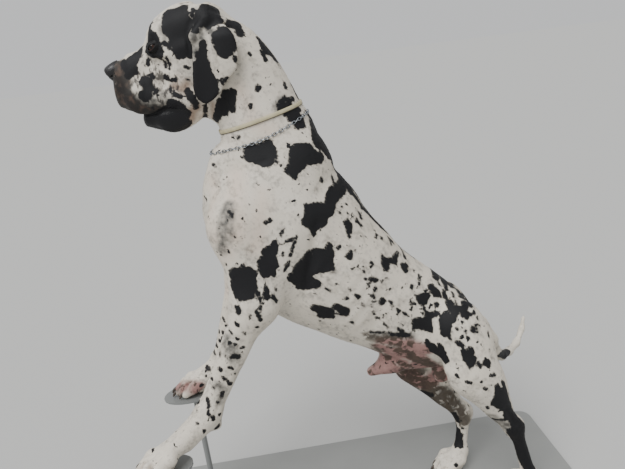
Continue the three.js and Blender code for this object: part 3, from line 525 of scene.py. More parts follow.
def lines(*spans):
    """Grid lines: each span is start, end and spacing; spacings change smoothly enough for the net."""
    out = []
    for start, end, step in spans:
        out += list(np.linspace(start, end, max(2, round((end - start) / step)), endpoint=False))
    return np.array(out + [spans[-1][1]])


def evaluate(field, p, size=200000):
    return np.concatenate([field(p[i:i + size]) for i in range(0, len(p), size)]) if len(p) else np.zeros(0)


def net(field, xs, ys, zs, block=4):
    """A closed net of quads on a grid of cells: one vertex in each cell that the surface crosses."""
    padded = []
    for v in (xs, ys, zs):
        missing = (-(len(v) - 1)) % block
        padded.append(np.append(v, v[-1] + (v[-1] - v[-2]) * np.arange(1, 1 + missing)))
    xs, ys, zs = padded
    coarse = np.meshgrid(xs[::block], ys[::block], zs[::block], indexing="ij")
    v0 = evaluate(field, np.stack([c.ravel() for c in coarse], 1)).reshape(coarse[0].shape)
    dx, dy, dz = (np.diff(v[::block]) for v in (xs, ys, zs))
    diagonal = np.sqrt(dx[:, None, None] ** 2 + dy[None, :, None] ** 2 + dz[None, None, :] ** 2)
    shifts = [(i, j, k) for i in (0, 1) for j in (0, 1) for k in (0, 1)]

    def corner(v, s):
        return v[tuple(slice(c, n - 1 + c) for c, n in zip(s, v.shape))]

    nearest = np.min([np.abs(corner(v0, s)) for s in shifts], axis=0)
    active = nearest < 0.75 * diagonal
    values = v0
    for axis in range(3):
        values = np.repeat(values, block, axis)
    values = values[:len(xs), :len(ys), :len(zs)].copy()
    fine = np.zeros(values.shape, bool)
    for i, j, k in np.argwhere(active) * block:
        fine[i:i + block + 1, j:j + block + 1, k:k + block + 1] = True
    index = np.argwhere(fine)
    points = np.stack([xs[index[:, 0]], ys[index[:, 1]], zs[index[:, 2]]], 1)
    values[fine] = evaluate(field, points)
    inside = values < 0
    full = np.sum([corner(inside, s) for s in shifts], axis=0)
    cells = np.argwhere((full > 0) & (full < 8))
    number = np.full(full.shape, -1, np.int32)
    number[tuple(cells.T)] = np.arange(len(cells))
    total, count = np.zeros((len(cells), 3)), np.zeros(len(cells))
    grid = (xs, ys, zs)
    for axis in range(3):
        others = [c for c in range(3) if c != axis]
        for p in (0, 1):
            for q in (0, 1):
                low = cells.copy()
                low[:, others[0]] += p
                low[:, others[1]] += q
                high = low.copy()
                high[:, axis] += 1
                a, b = values[tuple(low.T)], values[tuple(high.T)]
                cut = (a < 0) != (b < 0)
                t = a[cut] / (a[cut] - b[cut])
                at = np.stack([grid[c][low[cut, c]] for c in range(3)], 1)
                at[:, axis] += t * (grid[axis][high[cut, axis]] - grid[axis][low[cut, axis]])
                total[cut] += at
                count[cut] += 1
    vertices = total / count[:, None]
    quads = []
    for axis in range(3):
        u, v = [(1, 2), (2, 0), (0, 1)][axis]
        a = inside[tuple(slice(1, -1) if c != axis else slice(0, -1) for c in range(3))]
        b = inside[tuple(slice(1, -1) if c != axis else slice(1, None) for c in range(3))]
        crossed = np.argwhere(a != b)
        out = a[tuple(crossed.T)]
        base = crossed + np.array([0 if c == axis else 1 for c in range(3)])
        ring = []
        for du, dv in ((-1, -1), (0, -1), (0, 0), (-1, 0)):
            c = base.copy()
            c[:, u] += du
            c[:, v] += dv
            ring.append(number[tuple(c.T)])
        ring = np.stack(ring, 1)
        ring[~out] = ring[~out][:, ::-1]
        quads.append(ring)
    return vertices, np.concatenate(quads)


def slope(field, p, step=0.6):
    g = np.empty_like(p)
    for c in range(3):
        e = np.zeros(3)
        e[c] = step
        g[:, c] = (evaluate(field, p + e) - evaluate(field, p - e)) / (2 * step)
    return g


def settle(field, p, limit=2.5):
    """Moves points along the field's slope onto its surface, no further than the limit."""
    g = slope(field, p)
    g2 = np.maximum((g * g).sum(1), 0.05)
    move = -(evaluate(field, p) / g2)[:, None] * g
    length = np.linalg.norm(move, axis=1)
    return p + move * np.minimum(1, limit / np.maximum(length, 1e-9))[:, None]


def mesh_object(name, vertices, faces):
    mesh = bpy.data.meshes.new(name)
    mesh.from_pydata(vertices.tolist(), [], faces.tolist())
    mesh.update()
    obj = bpy.data.objects.new(name, mesh)
    bpy.context.scene.collection.objects.link(obj)
    return obj


def soften(points, faces, weight, times):
    """Evens out a net: each point moves towards the mean of its neighbours, by its weight."""
    a = np.concatenate([faces[:, i] for i in range(4)])
    b = np.concatenate([faces[:, (i + 1) % 4] for i in range(4)])
    count = np.bincount(a, minlength=len(points))[:, None]
    for _ in range(times):
        total = np.stack([np.bincount(a, points[b, c], len(points)) for c in range(3)], 1)
        points = points + weight[:, None] * (total / count - points)
    return points


def near_to(points, centre, radius):
    return np.linalg.norm(points - np.array(centre), axis=1) < radius


HEAD_CELL, FOOT_CELL, BODY_CELL = 3.0, 4.2, 6.5
SKIN_TRIANGLES = 188000
vertices, quads = net(skin_field,
                      lines((-620, -250, FOOT_CELL), (-250, -120, HEAD_CELL * 1.2), (-120, 310, BODY_CELL),
                            (310, 590, FOOT_CELL * 1.2), (590, 745, BODY_CELL)),
                      lines((-330, -106, FOOT_CELL * 1.3), (-106, 106, HEAD_CELL * 1.3),
                            (106, 280, BODY_CELL)),
                      lines((-9, 90, FOOT_CELL), (90, 396, BODY_CELL), (396, 500, FOOT_CELL),
                            (500, 1216, BODY_CELL), (1216, 1568, HEAD_CELL)))
for _ in range(2):
    vertices = settle(skin_field, vertices)
thin = np.min([ear.field(vertices) for ear in ears], axis=0) < 12
feet = (vertices[:, 2] < 80) | (vertices[:, 2] < 480) & (vertices[:, 0] < -330)
even = np.where(thin | feet | (vertices[:, 2] > 1250), 0.25, 0.5)
vertices = soften(vertices, quads, even, 5)
lift = relief(vertices)
facing = slope(skin_field, vertices)
facing /= np.maximum(np.linalg.norm(facing, axis=1, keepdims=True), 1e-6)
vertices = vertices + facing * np.where(thin, 0, lift)[:, None]
vertices = soften(vertices, quads, even * 0.5, 1)
skin = mesh_object("skin", on_stand(vertices), quads)
thinner = skin.modifiers.new("thinner", "DECIMATE")
thinner.ratio = min(1, SKIN_TRIANGLES / (2 * len(quads)))
bpy.context.view_layer.update()
skin_mesh = bpy.data.meshes.new_from_object(skin.evaluated_get(bpy.context.evaluated_depsgraph_get()))
skin.modifiers.clear()
skin.data = skin_mesh
skin_mesh.shade_smooth()
skin_mesh.calc_loop_triangles()
vertices = np.empty(len(skin_mesh.vertices) * 3)
skin_mesh.vertices.foreach_get("co", vertices)
vertices = vertices.reshape(-1, 3) * 1000 - LIFT
triangles = np.empty(len(skin_mesh.loop_triangles) * 3, np.int32)
skin_mesh.loop_triangles.foreach_get("vertices", triangles)
triangles = triangles.reshape(-1, 3)

# Markings
# Torn black patches, grey merle smears, bare pink-brown skin and tan tones, with grey painted shade on the
# front of each ear's fold and tan painted shade in the gaps between the toes. The left side's are strokes of
# a brush, each laid from one photo pixel to another with a half width at either end, and carried along the
# camera's rays onto the skin. What the camera doesn't see has patches of its own, from a fixed seed.
HEAD_BLACK = [
    (152, 38, 6, 156, 52, 7), (151, 46, 5, 152, 52, 5), (138, 54, 4, 134, 61, 4),
    (131, 60, 4, 132, 71, 4.5), (123, 62, 2.5, 128, 70, 4), (127, 76, 3, 130, 71, 3),
    (141, 48, 2, 139, 54, 3), (151, 22, 2, 149, 33, 2.5), (150, 34, 3.5, 155, 46, 7),
    (157, 44, 5.5, 158, 52, 5), (153, 37, 4, 152, 50, 6), (148, 46, 2, 149, 54, 2.5),
    (183, 8, 5, 175, 14, 6), (170, 17, 6, 172, 30, 7), (180, 15, 8, 182, 45, 9),
    (180, 40, 10, 181, 49, 8), (182, 53, 5, 178, 56, 3), (188, 20, 3, 189, 55, 3),
    (166, 15, 3.5, 166, 31, 4), (166, 13, 3, 172, 11, 3), (164, 43, 1.2, 170, 48, 1.5),
    (166, 58, 1.3, 170, 67, 1.3), (163, 60, 1, 166, 66, 1), (149, 55, 1.3, 148, 64, 1.3),
    (151, 76, 2.6, 153, 78, 2), (146, 82, 5.5, 148, 88, 5.5), (144, 95, 4, 146, 98, 3),
    (149, 95, 3.2, 148, 96, 3), (155, 92, 2.3, 157, 90, 1.8), (166, 77, 2.4, 167, 78, 2),
    (173, 80, 1.5, 177, 79, 1), (185, 67, 1.3, 188, 68, 1), (186, 79, 1.2, 189, 80, 1),
    (171, 87, 1, 171, 91, 1), (174, 94, 1.8, 181, 97, 1.8), (187, 92, 3, 192, 99, 4),
    (195, 102, 3, 196, 107, 2.5), (193, 10, 2, 192, 15, 2), (206, 8, 6, 215, 9, 6),
    (200, 14, 5, 196, 20, 4), (205, 106, 2, 205, 119, 2.2),
]
LIP_BLACK = [
    (144, 119, 4, 150, 126, 5), (150, 127, 5, 172, 131, 5), (150, 121, 7, 160, 121, 8),
    (165, 120, 9, 178, 121, 11), (172, 112, 7, 182, 112, 7), (172, 104, 5, 180, 107, 6),
    (143, 116, 3, 150, 117, 4), (156, 113, 3, 170, 108, 4), (168, 128, 6, 184, 125, 7),
]
NECK_BLACK = [
    (312, 124, 5, 318, 142, 7), (318, 140, 7, 328, 152, 7), (222, 16, 5, 234, 24, 5),
    (233, 92, 3, 231, 108, 4), (226, 95, 5, 224, 109, 6), (219, 112, 4, 216, 120, 3),
    (221, 102, 4, 219, 110, 4), (224, 18, 3, 236, 24, 4.5), (236, 24, 4.5, 240, 33, 4),
    (214, 14, 5, 226, 20, 4), (259, 39, 2.5, 266, 50, 5), (266, 48, 4.5, 276, 60, 3.5),
    (262, 52, 2.5, 266, 60, 1.5), (258, 87, 2.6, 258, 88, 2.6), (250, 106, 2.2, 250, 107, 2.2),
    (249, 54, 1.2, 250, 55, 1.2), (238, 137, 2, 238, 138, 2), (284, 83, 1.2, 286, 88, 1.2),
    (293, 84, 2, 299, 96, 2), (285, 98, 2, 280, 106, 4), (278, 108, 2.5, 289, 104, 3),
    (288, 100, 2.5, 293, 99, 1.5), (284, 114, 2, 299, 110, 2.5), (293, 113, 4, 300, 118, 4.5),
    (290, 118, 3, 302, 124, 4), (297, 127, 2.5, 303, 125, 2), (312, 121, 3, 319, 135, 6),
    (316, 137, 6, 326, 150, 6), (214, 165, 1.4, 215, 166, 1.4),
]
SHOULDER_BLACK = [
    (250, 151, 6, 266, 148, 7), (250, 156, 5.5, 265, 158, 9), (268, 145, 5, 271, 153, 5.5),
    (243, 156, 2, 248, 157, 3), (295, 150, 6, 308, 150, 7), (296, 153, 7, 293, 169, 5.5),
    (294, 171, 4.5, 295, 176, 3.5), (306, 155, 9, 318, 158, 6), (321, 158, 4, 319, 154, 3),
    (300, 160, 8, 301, 165, 5.5), (277, 162, 1.6, 277, 163, 1.6), (286, 169, 1.8, 288, 172, 1.4),
    (321, 179, 1.9, 322, 180, 1.9), (332, 177, 1.8, 333, 180, 1.5), (229, 212, 1.3, 232, 216, 1),
    (234, 236, 0.9, 235, 237, 0.9), (228, 251, 1, 229, 252, 1), (265, 222, 1.3, 266, 222, 1.3),
    (270, 220, 1.2, 271, 221, 1.2), (260, 239, 1.3, 260, 240, 1.3), (284, 226, 1, 281, 235, 1.5),
    (283, 243, 1, 291, 240, 1.2), (296, 237, 1, 290, 256, 1.2), (289, 262, 1.8, 284, 271, 1.1),
    (283, 253, 0.9, 283, 255, 0.9),
]
BACK_BLACK = [
    (336, 160, 4, 341, 172, 4.5), (341, 172, 4.5, 346, 182, 5), (346, 182, 5, 350, 191, 4),
    (350, 190, 3.5, 361, 205, 2.6), (361, 205, 2.6, 373, 219, 2.4), (373, 219, 2.2, 386, 232, 1.6),
    (337, 167, 3.5, 342, 184, 6.5), (341, 186, 7, 333, 196, 8), (331, 200, 7, 330, 210, 6),
    (334, 157, 1, 344, 176, 2), (312, 211, 8, 322, 212, 9), (312, 219, 9, 319, 220, 9),
    (305, 222, 3.5, 308, 224, 4), (313, 229, 4, 314, 234, 2.5), (306, 206, 2.5, 309, 209, 4),
    (351, 190, 2.2, 357, 199, 2), (361, 207, 1.4, 372, 217, 2), (373, 217, 1.8, 381, 228, 1.1),
    (388, 237, 1, 391, 244, 1), (391, 240, 0.9, 394, 244, 0.9), (401, 249, 1.3, 405, 258, 1.9),
    (398, 245, 0.8, 402, 250, 0.8), (411, 254, 0.8, 415, 260, 0.8), (306, 112, 2, 318, 128, 3),
    (316, 127, 4, 326, 143, 5), (324, 142, 5, 333, 155, 4), (333, 156, 2, 345, 172, 3),
    (345, 172, 3, 358, 196, 2.4), (358, 196, 2.4, 373, 215, 2), (374, 216, 1.8, 388, 232, 1.4),
    (388, 233, 1.4, 401, 246, 1.6), (404, 250, 1.5, 414, 257, 1.2),
]
ARM_BLACK = [
    (322, 256, 7, 328, 266, 6), (308, 264, 8, 320, 266, 8), (300, 278, 6, 316, 284, 5),
    (236, 275, 8, 248, 275, 8.5), (238, 285, 9, 249, 285, 8.5), (240, 293, 7, 249, 294, 6),
    (243, 266, 1.8, 244, 264, 1.2), (275, 243, 3, 272, 251, 6), (268, 252, 6, 270, 265, 8),
    (261, 262, 4.5, 266, 271, 7), (272, 272, 4, 274, 276, 2), (266, 286, 1.6, 267, 297, 3),
    (275, 288, 1.3, 276, 290, 1.2), (272, 296, 2.4, 276, 301, 1.6), (258, 293, 2, 258, 295, 2),
    (260, 299, 1.2, 261, 300, 1), (329, 245, 3.2, 328, 256, 5.5), (316, 252, 4.5, 322, 261, 8),
    (308, 256, 5.5, 300, 268, 7), (312, 266, 9, 302, 275, 7), (291, 277, 4, 305, 284, 6),
    (300, 286, 3.5, 314, 284, 4.5), (318, 267, 5, 322, 266, 5), (325, 288, 1, 331, 291, 1),
    (333, 269, 2, 334, 271, 2), (338, 248, 1.4, 340, 246, 1),
]
SIDE_BLACK = [
    (347, 223, 3.6, 349, 229, 3.4), (350, 232, 2.4, 349, 236, 2), (357, 211, 1.3, 358, 212, 1),
    (360, 215, 1.7, 361, 218, 1.5), (357, 220, 1.8, 358, 222, 1.6), (361, 226, 1.3, 362, 227, 1.3),
    (339, 212, 1, 340, 213, 1), (348, 213, 1, 348, 214, 1), (341, 206, 0.9, 342, 207, 0.9),
    (350, 252, 2.4, 350, 257, 2.6), (347, 255, 1.3, 348, 255, 1.3), (371, 263, 1.7, 372, 264, 1.7),
    (363, 270, 1.3, 364, 272, 1.3), (376, 234, 1.1, 376, 238, 1.1), (381, 237, 1.2, 382, 239, 1.2),
    (382, 255, 1.4, 383, 262, 2.4), (384, 262, 3.8, 386, 268, 3.8), (388, 260, 3, 393, 261, 3),
    (395, 257, 3, 398, 252, 1.8), (395, 262, 3, 396, 265, 1.6), (403, 266, 3.4, 406, 266, 3.6),
    (404, 270, 2.4, 405, 271, 2), (382, 281, 1.2, 382, 282, 1), (371, 279, 2.3, 376, 280, 2.4),
    (368, 284, 1.4, 369, 284, 1.2), (365, 278, 0.9, 366, 279, 0.9), (375, 288, 1.7, 375, 291, 1.2),
    (372, 296, 1.4, 375, 298, 1.1), (373, 302, 0.9, 374, 302, 0.9), (371, 305, 1.1, 372, 306, 1),
    (381, 301, 3, 382, 302, 3), (362, 304, 1.7, 364, 306, 1.3), (355, 295, 1.1, 359, 298, 1.4),
    (346, 298, 1.2, 348, 298, 1), (349, 289, 1, 351, 291, 0.9), (392, 306, 0.9, 393, 307, 0.9),
    (397, 309, 0.9, 398, 310, 0.9), (390, 301, 0.9, 392, 302, 0.8), (404, 313, 1.5, 407, 316, 1.1),
    (373, 312, 1.1, 374, 314, 1), (376, 317, 1, 378, 318, 0.9), (383, 316, 1, 383, 317, 0.9),
    (384, 324, 1, 388, 327, 1), (350, 322, 1, 353, 323, 0.9), (397, 328, 1.4, 402, 331, 1.8),
    (386, 278, 0.7, 387, 278, 0.7), (315, 308, 4.5, 328, 312, 6), (321, 315, 4, 332, 316, 3),
    (336, 307, 3.5, 345, 311, 4.5), (341, 313, 3, 346, 314, 3), (320, 321, 0.9, 322, 322, 0.9),
    (370, 332, 0.9, 390, 332, 1), (392, 334, 1, 408, 335, 1.9), (419, 275, 0.9, 419, 284, 1.6),
    (412, 286, 1.5, 411, 290, 1.5), (414, 294, 0.8, 415, 294, 0.8), (411, 299, 0.8, 412, 303, 1.7),
    (410, 304, 1.1, 413, 304, 1.1), (420, 296, 2.6, 426, 296, 3.2), (421, 299, 4.6, 424, 300, 4.2),
    (421, 304, 1.8, 422, 305, 1.4), (424, 308, 0.8, 424, 309, 0.7), (436, 304, 1.8, 436, 305, 1.6),
]
RUMP_BLACK = [
    (433, 268, 4, 436, 278, 3.6), (431, 287, 3.5, 438, 293, 3.5), (443, 279, 4.5, 451, 285, 4.5),
    (449, 303, 3, 454, 311, 3.4), (457, 290, 4, 465, 299, 5), (461, 309, 3.4, 466, 315, 3.6),
    (441, 320, 2.4, 444, 331, 3.4), (430, 264, 2, 440, 272, 3), (442, 274, 2.4, 452, 284, 3),
    (453, 286, 2, 461, 294, 3), (462, 295, 3, 470, 305, 2.4), (431, 267, 1.6, 434, 277, 2.6),
    (436, 268, 1.7, 440, 271, 1), (431, 286, 2, 433, 292, 2.4), (435, 295, 1.7, 440, 296, 1),
    (438, 283, 0.9, 440, 285, 0.9), (443, 277, 2, 449, 284, 4.2), (444, 282, 4, 446, 288, 2.6),
    (444, 292, 2, 446, 298, 1.5), (452, 292, 0.8, 454, 298, 0.8), (455, 300, 0.8, 457, 304, 0.8),
    (458, 290, 1.8, 461, 297, 2.6), (464, 295, 3.4, 467, 300, 3.2), (465, 303, 3.8, 463, 314, 2.4),
    (450, 302, 2.6, 451, 307, 2.6), (416, 322, 5, 424, 323, 5), (415, 326, 3, 427, 328, 3.4),
    (427, 321, 5, 430, 330, 2.4), (429, 316, 3.6, 436, 314, 2.8), (426, 312, 1.2, 428, 314, 1.4),
    (413, 330, 0.9, 414, 331, 0.9), (443, 320, 3.6, 446, 331, 4.8), (446, 318, 4.6, 452, 318, 4.4),
    (447, 325, 4, 446, 333, 4), (449, 336, 1.8, 451, 340, 0.9), (454, 314, 3.4, 458, 307, 2.2),
    (456, 310, 2.6, 456, 305, 1.4), (446, 314, 2.4, 447, 316, 3), (457, 328, 1.3, 457, 329, 1.2),
    (465, 331, 0.9, 465, 332, 0.9), (462, 322, 0.8, 462, 323, 0.8), (468, 338, 0.8, 468, 339, 0.8),
    (473, 329, 3.3, 477, 331, 2.2), (475, 325, 1.4, 479, 326, 1.3), (470, 301, 0.7, 474, 312, 0.9),
    (471, 314, 1, 474, 314, 0.8), (468, 313, 0.9, 468, 314, 0.8), (477, 317, 0.8, 478, 319, 0.8),
    (488, 333, 1.1, 489, 337, 1), (457, 342, 2, 462, 345, 2),
]
THIGH_BLACK = [
    (428, 344, 3, 436, 350, 5), (436, 350, 5, 444, 358, 5), (465, 353, 3.6, 471, 352, 3.4),
    (467, 357, 4.6, 472, 360, 4.8), (470, 364, 4, 470, 367, 2), (478, 363, 1.8, 481, 366, 1.4),
    (470, 348, 1.4, 471, 349, 1.6), (486, 362, 2.8, 489, 364, 3), (491, 375, 1.1, 495, 375, 1.3),
    (457, 376, 1.4, 458, 377, 1.2), (466, 382, 0.9, 471, 383, 1.1), (484, 388, 1.3, 487, 389, 1.3),
    (482, 381, 0.8, 482, 382, 0.8), (427, 340, 1, 432, 347, 2.6), (433, 350, 4, 440, 355, 4),
    (440, 345, 2.2, 443, 352, 3), (443, 355, 2.6, 446, 360, 1), (502, 382, 1.4, 504, 385, 2),
    (497, 386, 2.6, 500, 396, 6.6), (497, 402, 5.5, 506, 406, 6), (503, 392, 5, 508, 408, 5),
    (508, 412, 5.5, 514, 418, 5), (494, 419, 1, 506, 419, 1.7), (487, 407, 1.3, 488, 408, 1.3),
    (512, 418, 5, 521, 430, 7), (514, 432, 6, 520, 438, 8), (520, 440, 8, 527, 458, 8),
    (526, 456, 7, 531, 468, 6.5), (500, 355, 4, 509, 352, 3.4), (505, 356, 3.5, 508, 351, 3.5),
    (454, 414, 2.4, 458, 421, 1.7), (450, 422, 1.4, 455, 427, 1.8), (457, 430, 3.4, 460, 444, 3.4),
    (455, 432, 2.6, 456, 444, 2.6), (456, 465, 1.3, 457, 466, 1.2), (425, 393, 4, 431, 395, 3),
]
FORELEG_BLACK = [
    (229, 343, 1.2, 230, 343, 1.2), (235, 345, 1.5, 236, 345, 1.5), (220, 369, 1.3, 221, 370, 1.3),
    (216, 344, 1.3, 217, 346, 1.3), (231, 333, 1.1, 232, 334, 1.1), (244, 333, 1.1, 245, 334, 1.1),
    (222, 377, 1.3, 225, 379, 1.3), (229, 383, 1.1, 231, 384, 1.1), (211, 378, 1.1, 212, 379, 1.1),
    (236, 338, 1.3, 238, 339, 1.3), (223, 332, 1.1, 224, 333, 1.1), (226, 325, 1.1, 227, 325, 1.1),
    (237, 309, 3.3, 239, 311, 2.4), (223, 318, 1.1, 224, 320, 1), (250, 315, 1.1, 250, 318, 1),
    (256, 311, 1.4, 259, 316, 2.1), (260, 319, 1.5, 261, 320, 1.2), (260, 307, 1.2, 260, 309, 1.2),
    (256, 327, 1.2, 258, 327, 1), (236, 323, 1.2, 238, 325, 1), (229, 330, 0.9, 230, 331, 0.9),
    (219, 331, 1.1, 219, 333, 1), (217, 337, 0.8, 217, 338, 0.8), (222, 338, 0.8, 222, 339, 0.8),
    (219, 340, 0.9, 220, 341, 0.9), (241, 348, 1.2, 243, 347, 1), (214, 351, 1.6, 215, 354, 1.5),
    (220, 352, 1.4, 220, 355, 1.5), (234, 356, 2.5, 238, 357, 2.5), (230, 357, 0.9, 231, 357, 0.9),
    (225, 356, 0.9, 226, 356, 0.9), (207, 367, 1.7, 209, 370, 1.6), (206, 370, 0.9, 206, 371, 0.8),
    (230, 367, 1.3, 232, 369, 1.2), (235, 373, 0.9, 235, 374, 0.8), (206, 376, 0.9, 206, 377, 0.8),
    (202, 385, 1.6, 198, 402, 2), (213, 387, 1.5, 214, 388, 1.4), (223, 392, 1.7, 221, 397, 1.6),
    (207, 398, 1.4, 209, 406, 1.4), (218, 402, 1.3, 218, 403, 1.2), (208, 410, 0.7, 209, 415, 0.7),
    (213, 417, 1.3, 213, 419, 1.3), (216, 428, 1.9, 219, 425, 1.4), (220, 414, 0.8, 220, 415, 0.8),
    (197, 423, 0.8, 198, 424, 0.8), (204, 431, 0.8, 204, 432, 0.8),
]
EAR_BLACK = [
    (197, 12, 6, 200, 22, 5), (203, 43, 2.6, 205, 52, 3.4), (200, 56, 4.5, 204, 66, 6.5),
    (201, 71, 9.5, 204, 84, 13), (205, 88, 14, 207, 94, 11), (196, 20, 4, 195, 30, 3),
    (204, 14, 7, 214, 14, 7), (206, 20, 5, 218, 20, 5), (207, 27, 2.4, 208, 28, 2.2),
    (223, 38, 10.5, 225, 45, 11), (216, 46, 5, 217, 50, 5), (221, 80, 1.4, 227, 78, 1.4),
    (222, 84, 1, 223, 85, 1), (234, 58, 1.6, 238, 66, 2),
]
# Grey merle smears. The strokes on the ear near its front edge are grey painted shade, where the ear folds.
GREY = [
    (196, 28, 8, 200, 60, 8), (126, 96, 5, 160, 103, 6), (208, 30, 4, 214, 36, 4),
    (229, 206, 6, 226, 225, 9), (226, 228, 9, 222, 250, 6), (226, 340, 7, 234, 356, 7),
    (218, 385, 4, 225, 390, 3), (222, 395, 4, 220, 402, 3), (413, 392, 8, 440, 405, 9),
    (445, 394, 8, 458, 408, 8), (450, 408, 7, 460, 415, 6), (501, 424, 4, 508, 430, 4),
    (202, 57, 4, 203, 68, 5), (198, 30, 4, 199, 50, 3), (283, 101, 6, 280, 107, 6),
    (163, 26, 3, 166, 40, 3), (404, 382, 6, 424, 400, 9), (424, 400, 9, 446, 418, 8),
    (492, 417, 5, 512, 432, 6), (428, 384, 6, 452, 400, 7), (372, 334, 4, 410, 338, 6),
    (120, 88, 5, 128, 100, 7), (134, 100, 7, 150, 108, 7), (156, 104, 5, 164, 98, 6),
]
TAN = [
    (117, 74, 4, 122, 90, 6), (120, 66, 3, 122, 72, 3), (118, 92, 5, 126, 100, 5),
    (124, 100, 5, 140, 112, 5), (182, 88, 4, 187, 84, 4), (196, 108, 6, 190, 118, 6),
    (213, 104, 3, 214, 118, 3), (174, 86, 4, 184, 90, 4),
]
PINK = [
    (424, 357, 4, 436, 366, 5), (378, 346, 6, 390, 350, 6), (396, 360, 6, 404, 362, 6),
    (404, 364, 6, 412, 370, 6), (412, 352, 5, 420, 356, 5), (418, 358, 5, 426, 364, 5),
    (386, 352, 5, 396, 356, 5), (178, 388, 6, 198, 388, 7), (366, 356, 7, 396, 372, 9),
    (386, 372, 7, 414, 378, 9), (402, 378, 7, 424, 384, 8), (376, 372, 7, 366, 372, 6),
    (372, 372, 6, 384, 362, 9), (386, 360, 8, 398, 356, 9), (400, 352, 9, 418, 358, 10),
    (420, 365, 12, 436, 372, 10), (405, 345, 7, 425, 350, 8), (432, 380, 8, 444, 380, 8),
    (410, 375, 9, 425, 385, 8), (380, 341, 5, 400, 343, 6),
]
DUSKY = [
    (366, 336, 6, 406, 342, 8), (374, 346, 5, 388, 358, 4), (398, 350, 5, 418, 360, 6),
    (404, 374, 12, 424, 390, 14), (424, 388, 13, 446, 402, 13), (446, 402, 11, 462, 420, 10),
    (424, 362, 7, 438, 376, 8), (402, 366, 6, 420, 372, 7),
]

# Distances to a stroke are kept up to this many millimetres.
MARK_REACH = 30.0
picture_skin = BVHTree.FromPolygons(on_stand(vertices).tolist(), triangles.tolist())


def pixel_ray(u, v):
    across = (u - PICTURE[0] / 2) / FOCAL_PIXELS
    up = -(v - PICTURE[1] / 2) / FOCAL_PIXELS
    return (across * ACROSS + up * UPWARD + AHEAD).normalized()


def on_skin(u, v):
    """The skin's point at a photo pixel, or the one nearest to its ray, and how far away it is."""
    ray = pixel_ray(u, v)
    hit = picture_skin.ray_cast(CAMERA_AT, ray)[0]
    if hit is None:
        tries = [picture_skin.find_nearest(CAMERA_AT + ray * (1.0 + 0.03 * i)) for i in range(50)]
        hit = min(tries, key=lambda found: found[3])[0]
    return np.array(hit), (hit - CAMERA_AT).length


def stroke_distance(p, strokes):
    """Millimetres from each point to the nearest stroke's edge, negative inside."""
    d = np.full(len(p), MARK_REACH)
    for u0, v0, r0, u1, v1, r1 in strokes:
        a, reach_a = on_skin(u0, v0)
        b, reach_b = on_skin(u1, v1)
        ra, rb = r0 * reach_a / FOCAL_PIXELS * 1000, r1 * reach_b / FOCAL_PIXELS * 1000
        d = np.minimum(d, capsule_distance(p, a * 1000, b * 1000, ra, rb))
    return d


def capsule_distance(p, a, b, ra, rb):
    d = np.full(len(p), MARK_REACH)
    reach = max(ra, rb) + MARK_REACH
    near = np.all((p > np.minimum(a, b) - reach) & (p < np.maximum(a, b) + reach), axis=1)
    q, line = p[near] - a, b - a
    t = np.clip(q @ line / max(line @ line, 1e-6), 0, 1)
    d[near] = np.linalg.norm(q - t[:, None] * line, axis=1) - (ra + (rb - ra) * t)
    return np.minimum(d, MARK_REACH)


def soft(distance, edge):
    return np.clip(0.5 - distance / edge, 0, 1)


skin_mm = on_stand(vertices) * 1000
ear_part = np.min([ear.field(vertices) for ear in ears], axis=0) < 1.2
body_strokes = (HEAD_BLACK + LIP_BLACK + NECK_BLACK + SHOULDER_BLACK + BACK_BLACK + ARM_BLACK + SIDE_BLACK
                + RUMP_BLACK + THIGH_BLACK + FORELEG_BLACK)
mirrored = skin_mm * np.array([1, -1, 1])
black = np.minimum(stroke_distance(skin_mm, body_strokes), stroke_distance(mirrored, LIP_BLACK))
black[ear_part] = stroke_distance(skin_mm[ear_part], EAR_BLACK)

# Skin that is turned away from the camera has torn patches of its own: clusters of blunt strokes, laid
# out at random from a fixed seed, larger on the trunk than on the legs.
FAR_PATCHES, FAR_SEED = 300, 11
FAR_SIZES, FAR_SHARES = [4, 7, 12, 22, 34], [0.42, 0.28, 0.16, 0.09, 0.05]
rng = np.random.default_rng(FAR_SEED)
far_black = np.full(len(vertices), MARK_REACH)
towards = np.array(CAMERA_AT) * 1000 - skin_mm
normals = np.empty(vertices.size)
skin_mesh.vertices.foreach_get("normal", normals)
turned_off = -(normals.reshape(-1, 3) * towards).sum(1) / np.linalg.norm(towards, axis=1)
corners = vertices[triangles]
sides = corners[:, 1:] - corners[:, :1]
face_area = np.linalg.norm(np.cross(sides[:, 0], sides[:, 1]), axis=1) / 2
far_share = np.bincount(triangles.ravel(), np.repeat(face_area, 3), len(vertices))
far_share *= turned_off > 0.05
for middle in vertices[rng.choice(len(vertices), FAR_PATCHES, p=far_share / far_share.sum())]:
    big = 1.0 if middle[2] > 560 and middle[0] > -250 else 0.55
    size = big * rng.choice(FAR_SIZES, p=FAR_SHARES)
    for _ in range(1 + int(size > 8) * 3):
        a = middle + rng.normal(0, 0.8, 3) * size
        b = a + rng.normal(0, 1.0, 3) * size
        ra, rb = size * rng.uniform(0.5, 0.9), size * rng.uniform(0.3, 0.8)
        far_black = np.minimum(far_black, capsule_distance(skin_mm, a + LIFT, b + LIFT, ra, rb))
right_eye, right_ear = head_point(-34, 56, -20), np.array([-185, 92, 1400])
for middle, reach in ((right_eye, 24), (right_ear, 40), (right_ear + np.array([-20, 0, -60]), 30)):
    patch = capsule_distance(skin_mm, middle + LIFT, middle + LIFT + 1, reach, reach)
    far_black = np.minimum(far_black, patch)
black = np.minimum(black, far_black + MARK_REACH * (1 - ramp(turned_off, 0.0, 0.25)))
# The skin inside the nostrils is black too.
nose_bed = capsule_distance(skin_mm, head_point(92, 0, -20) + LIFT, head_point(106, 0, -26) + LIFT, 18, 16)
black = np.minimum(black, nose_bed)


def both_sides(strokes, edge):
    """A soft mark laid down on the left side, and mirrored to the right."""
    return np.maximum(*[soft(stroke_distance(p, strokes), edge) for p in (skin_mm, mirrored)])


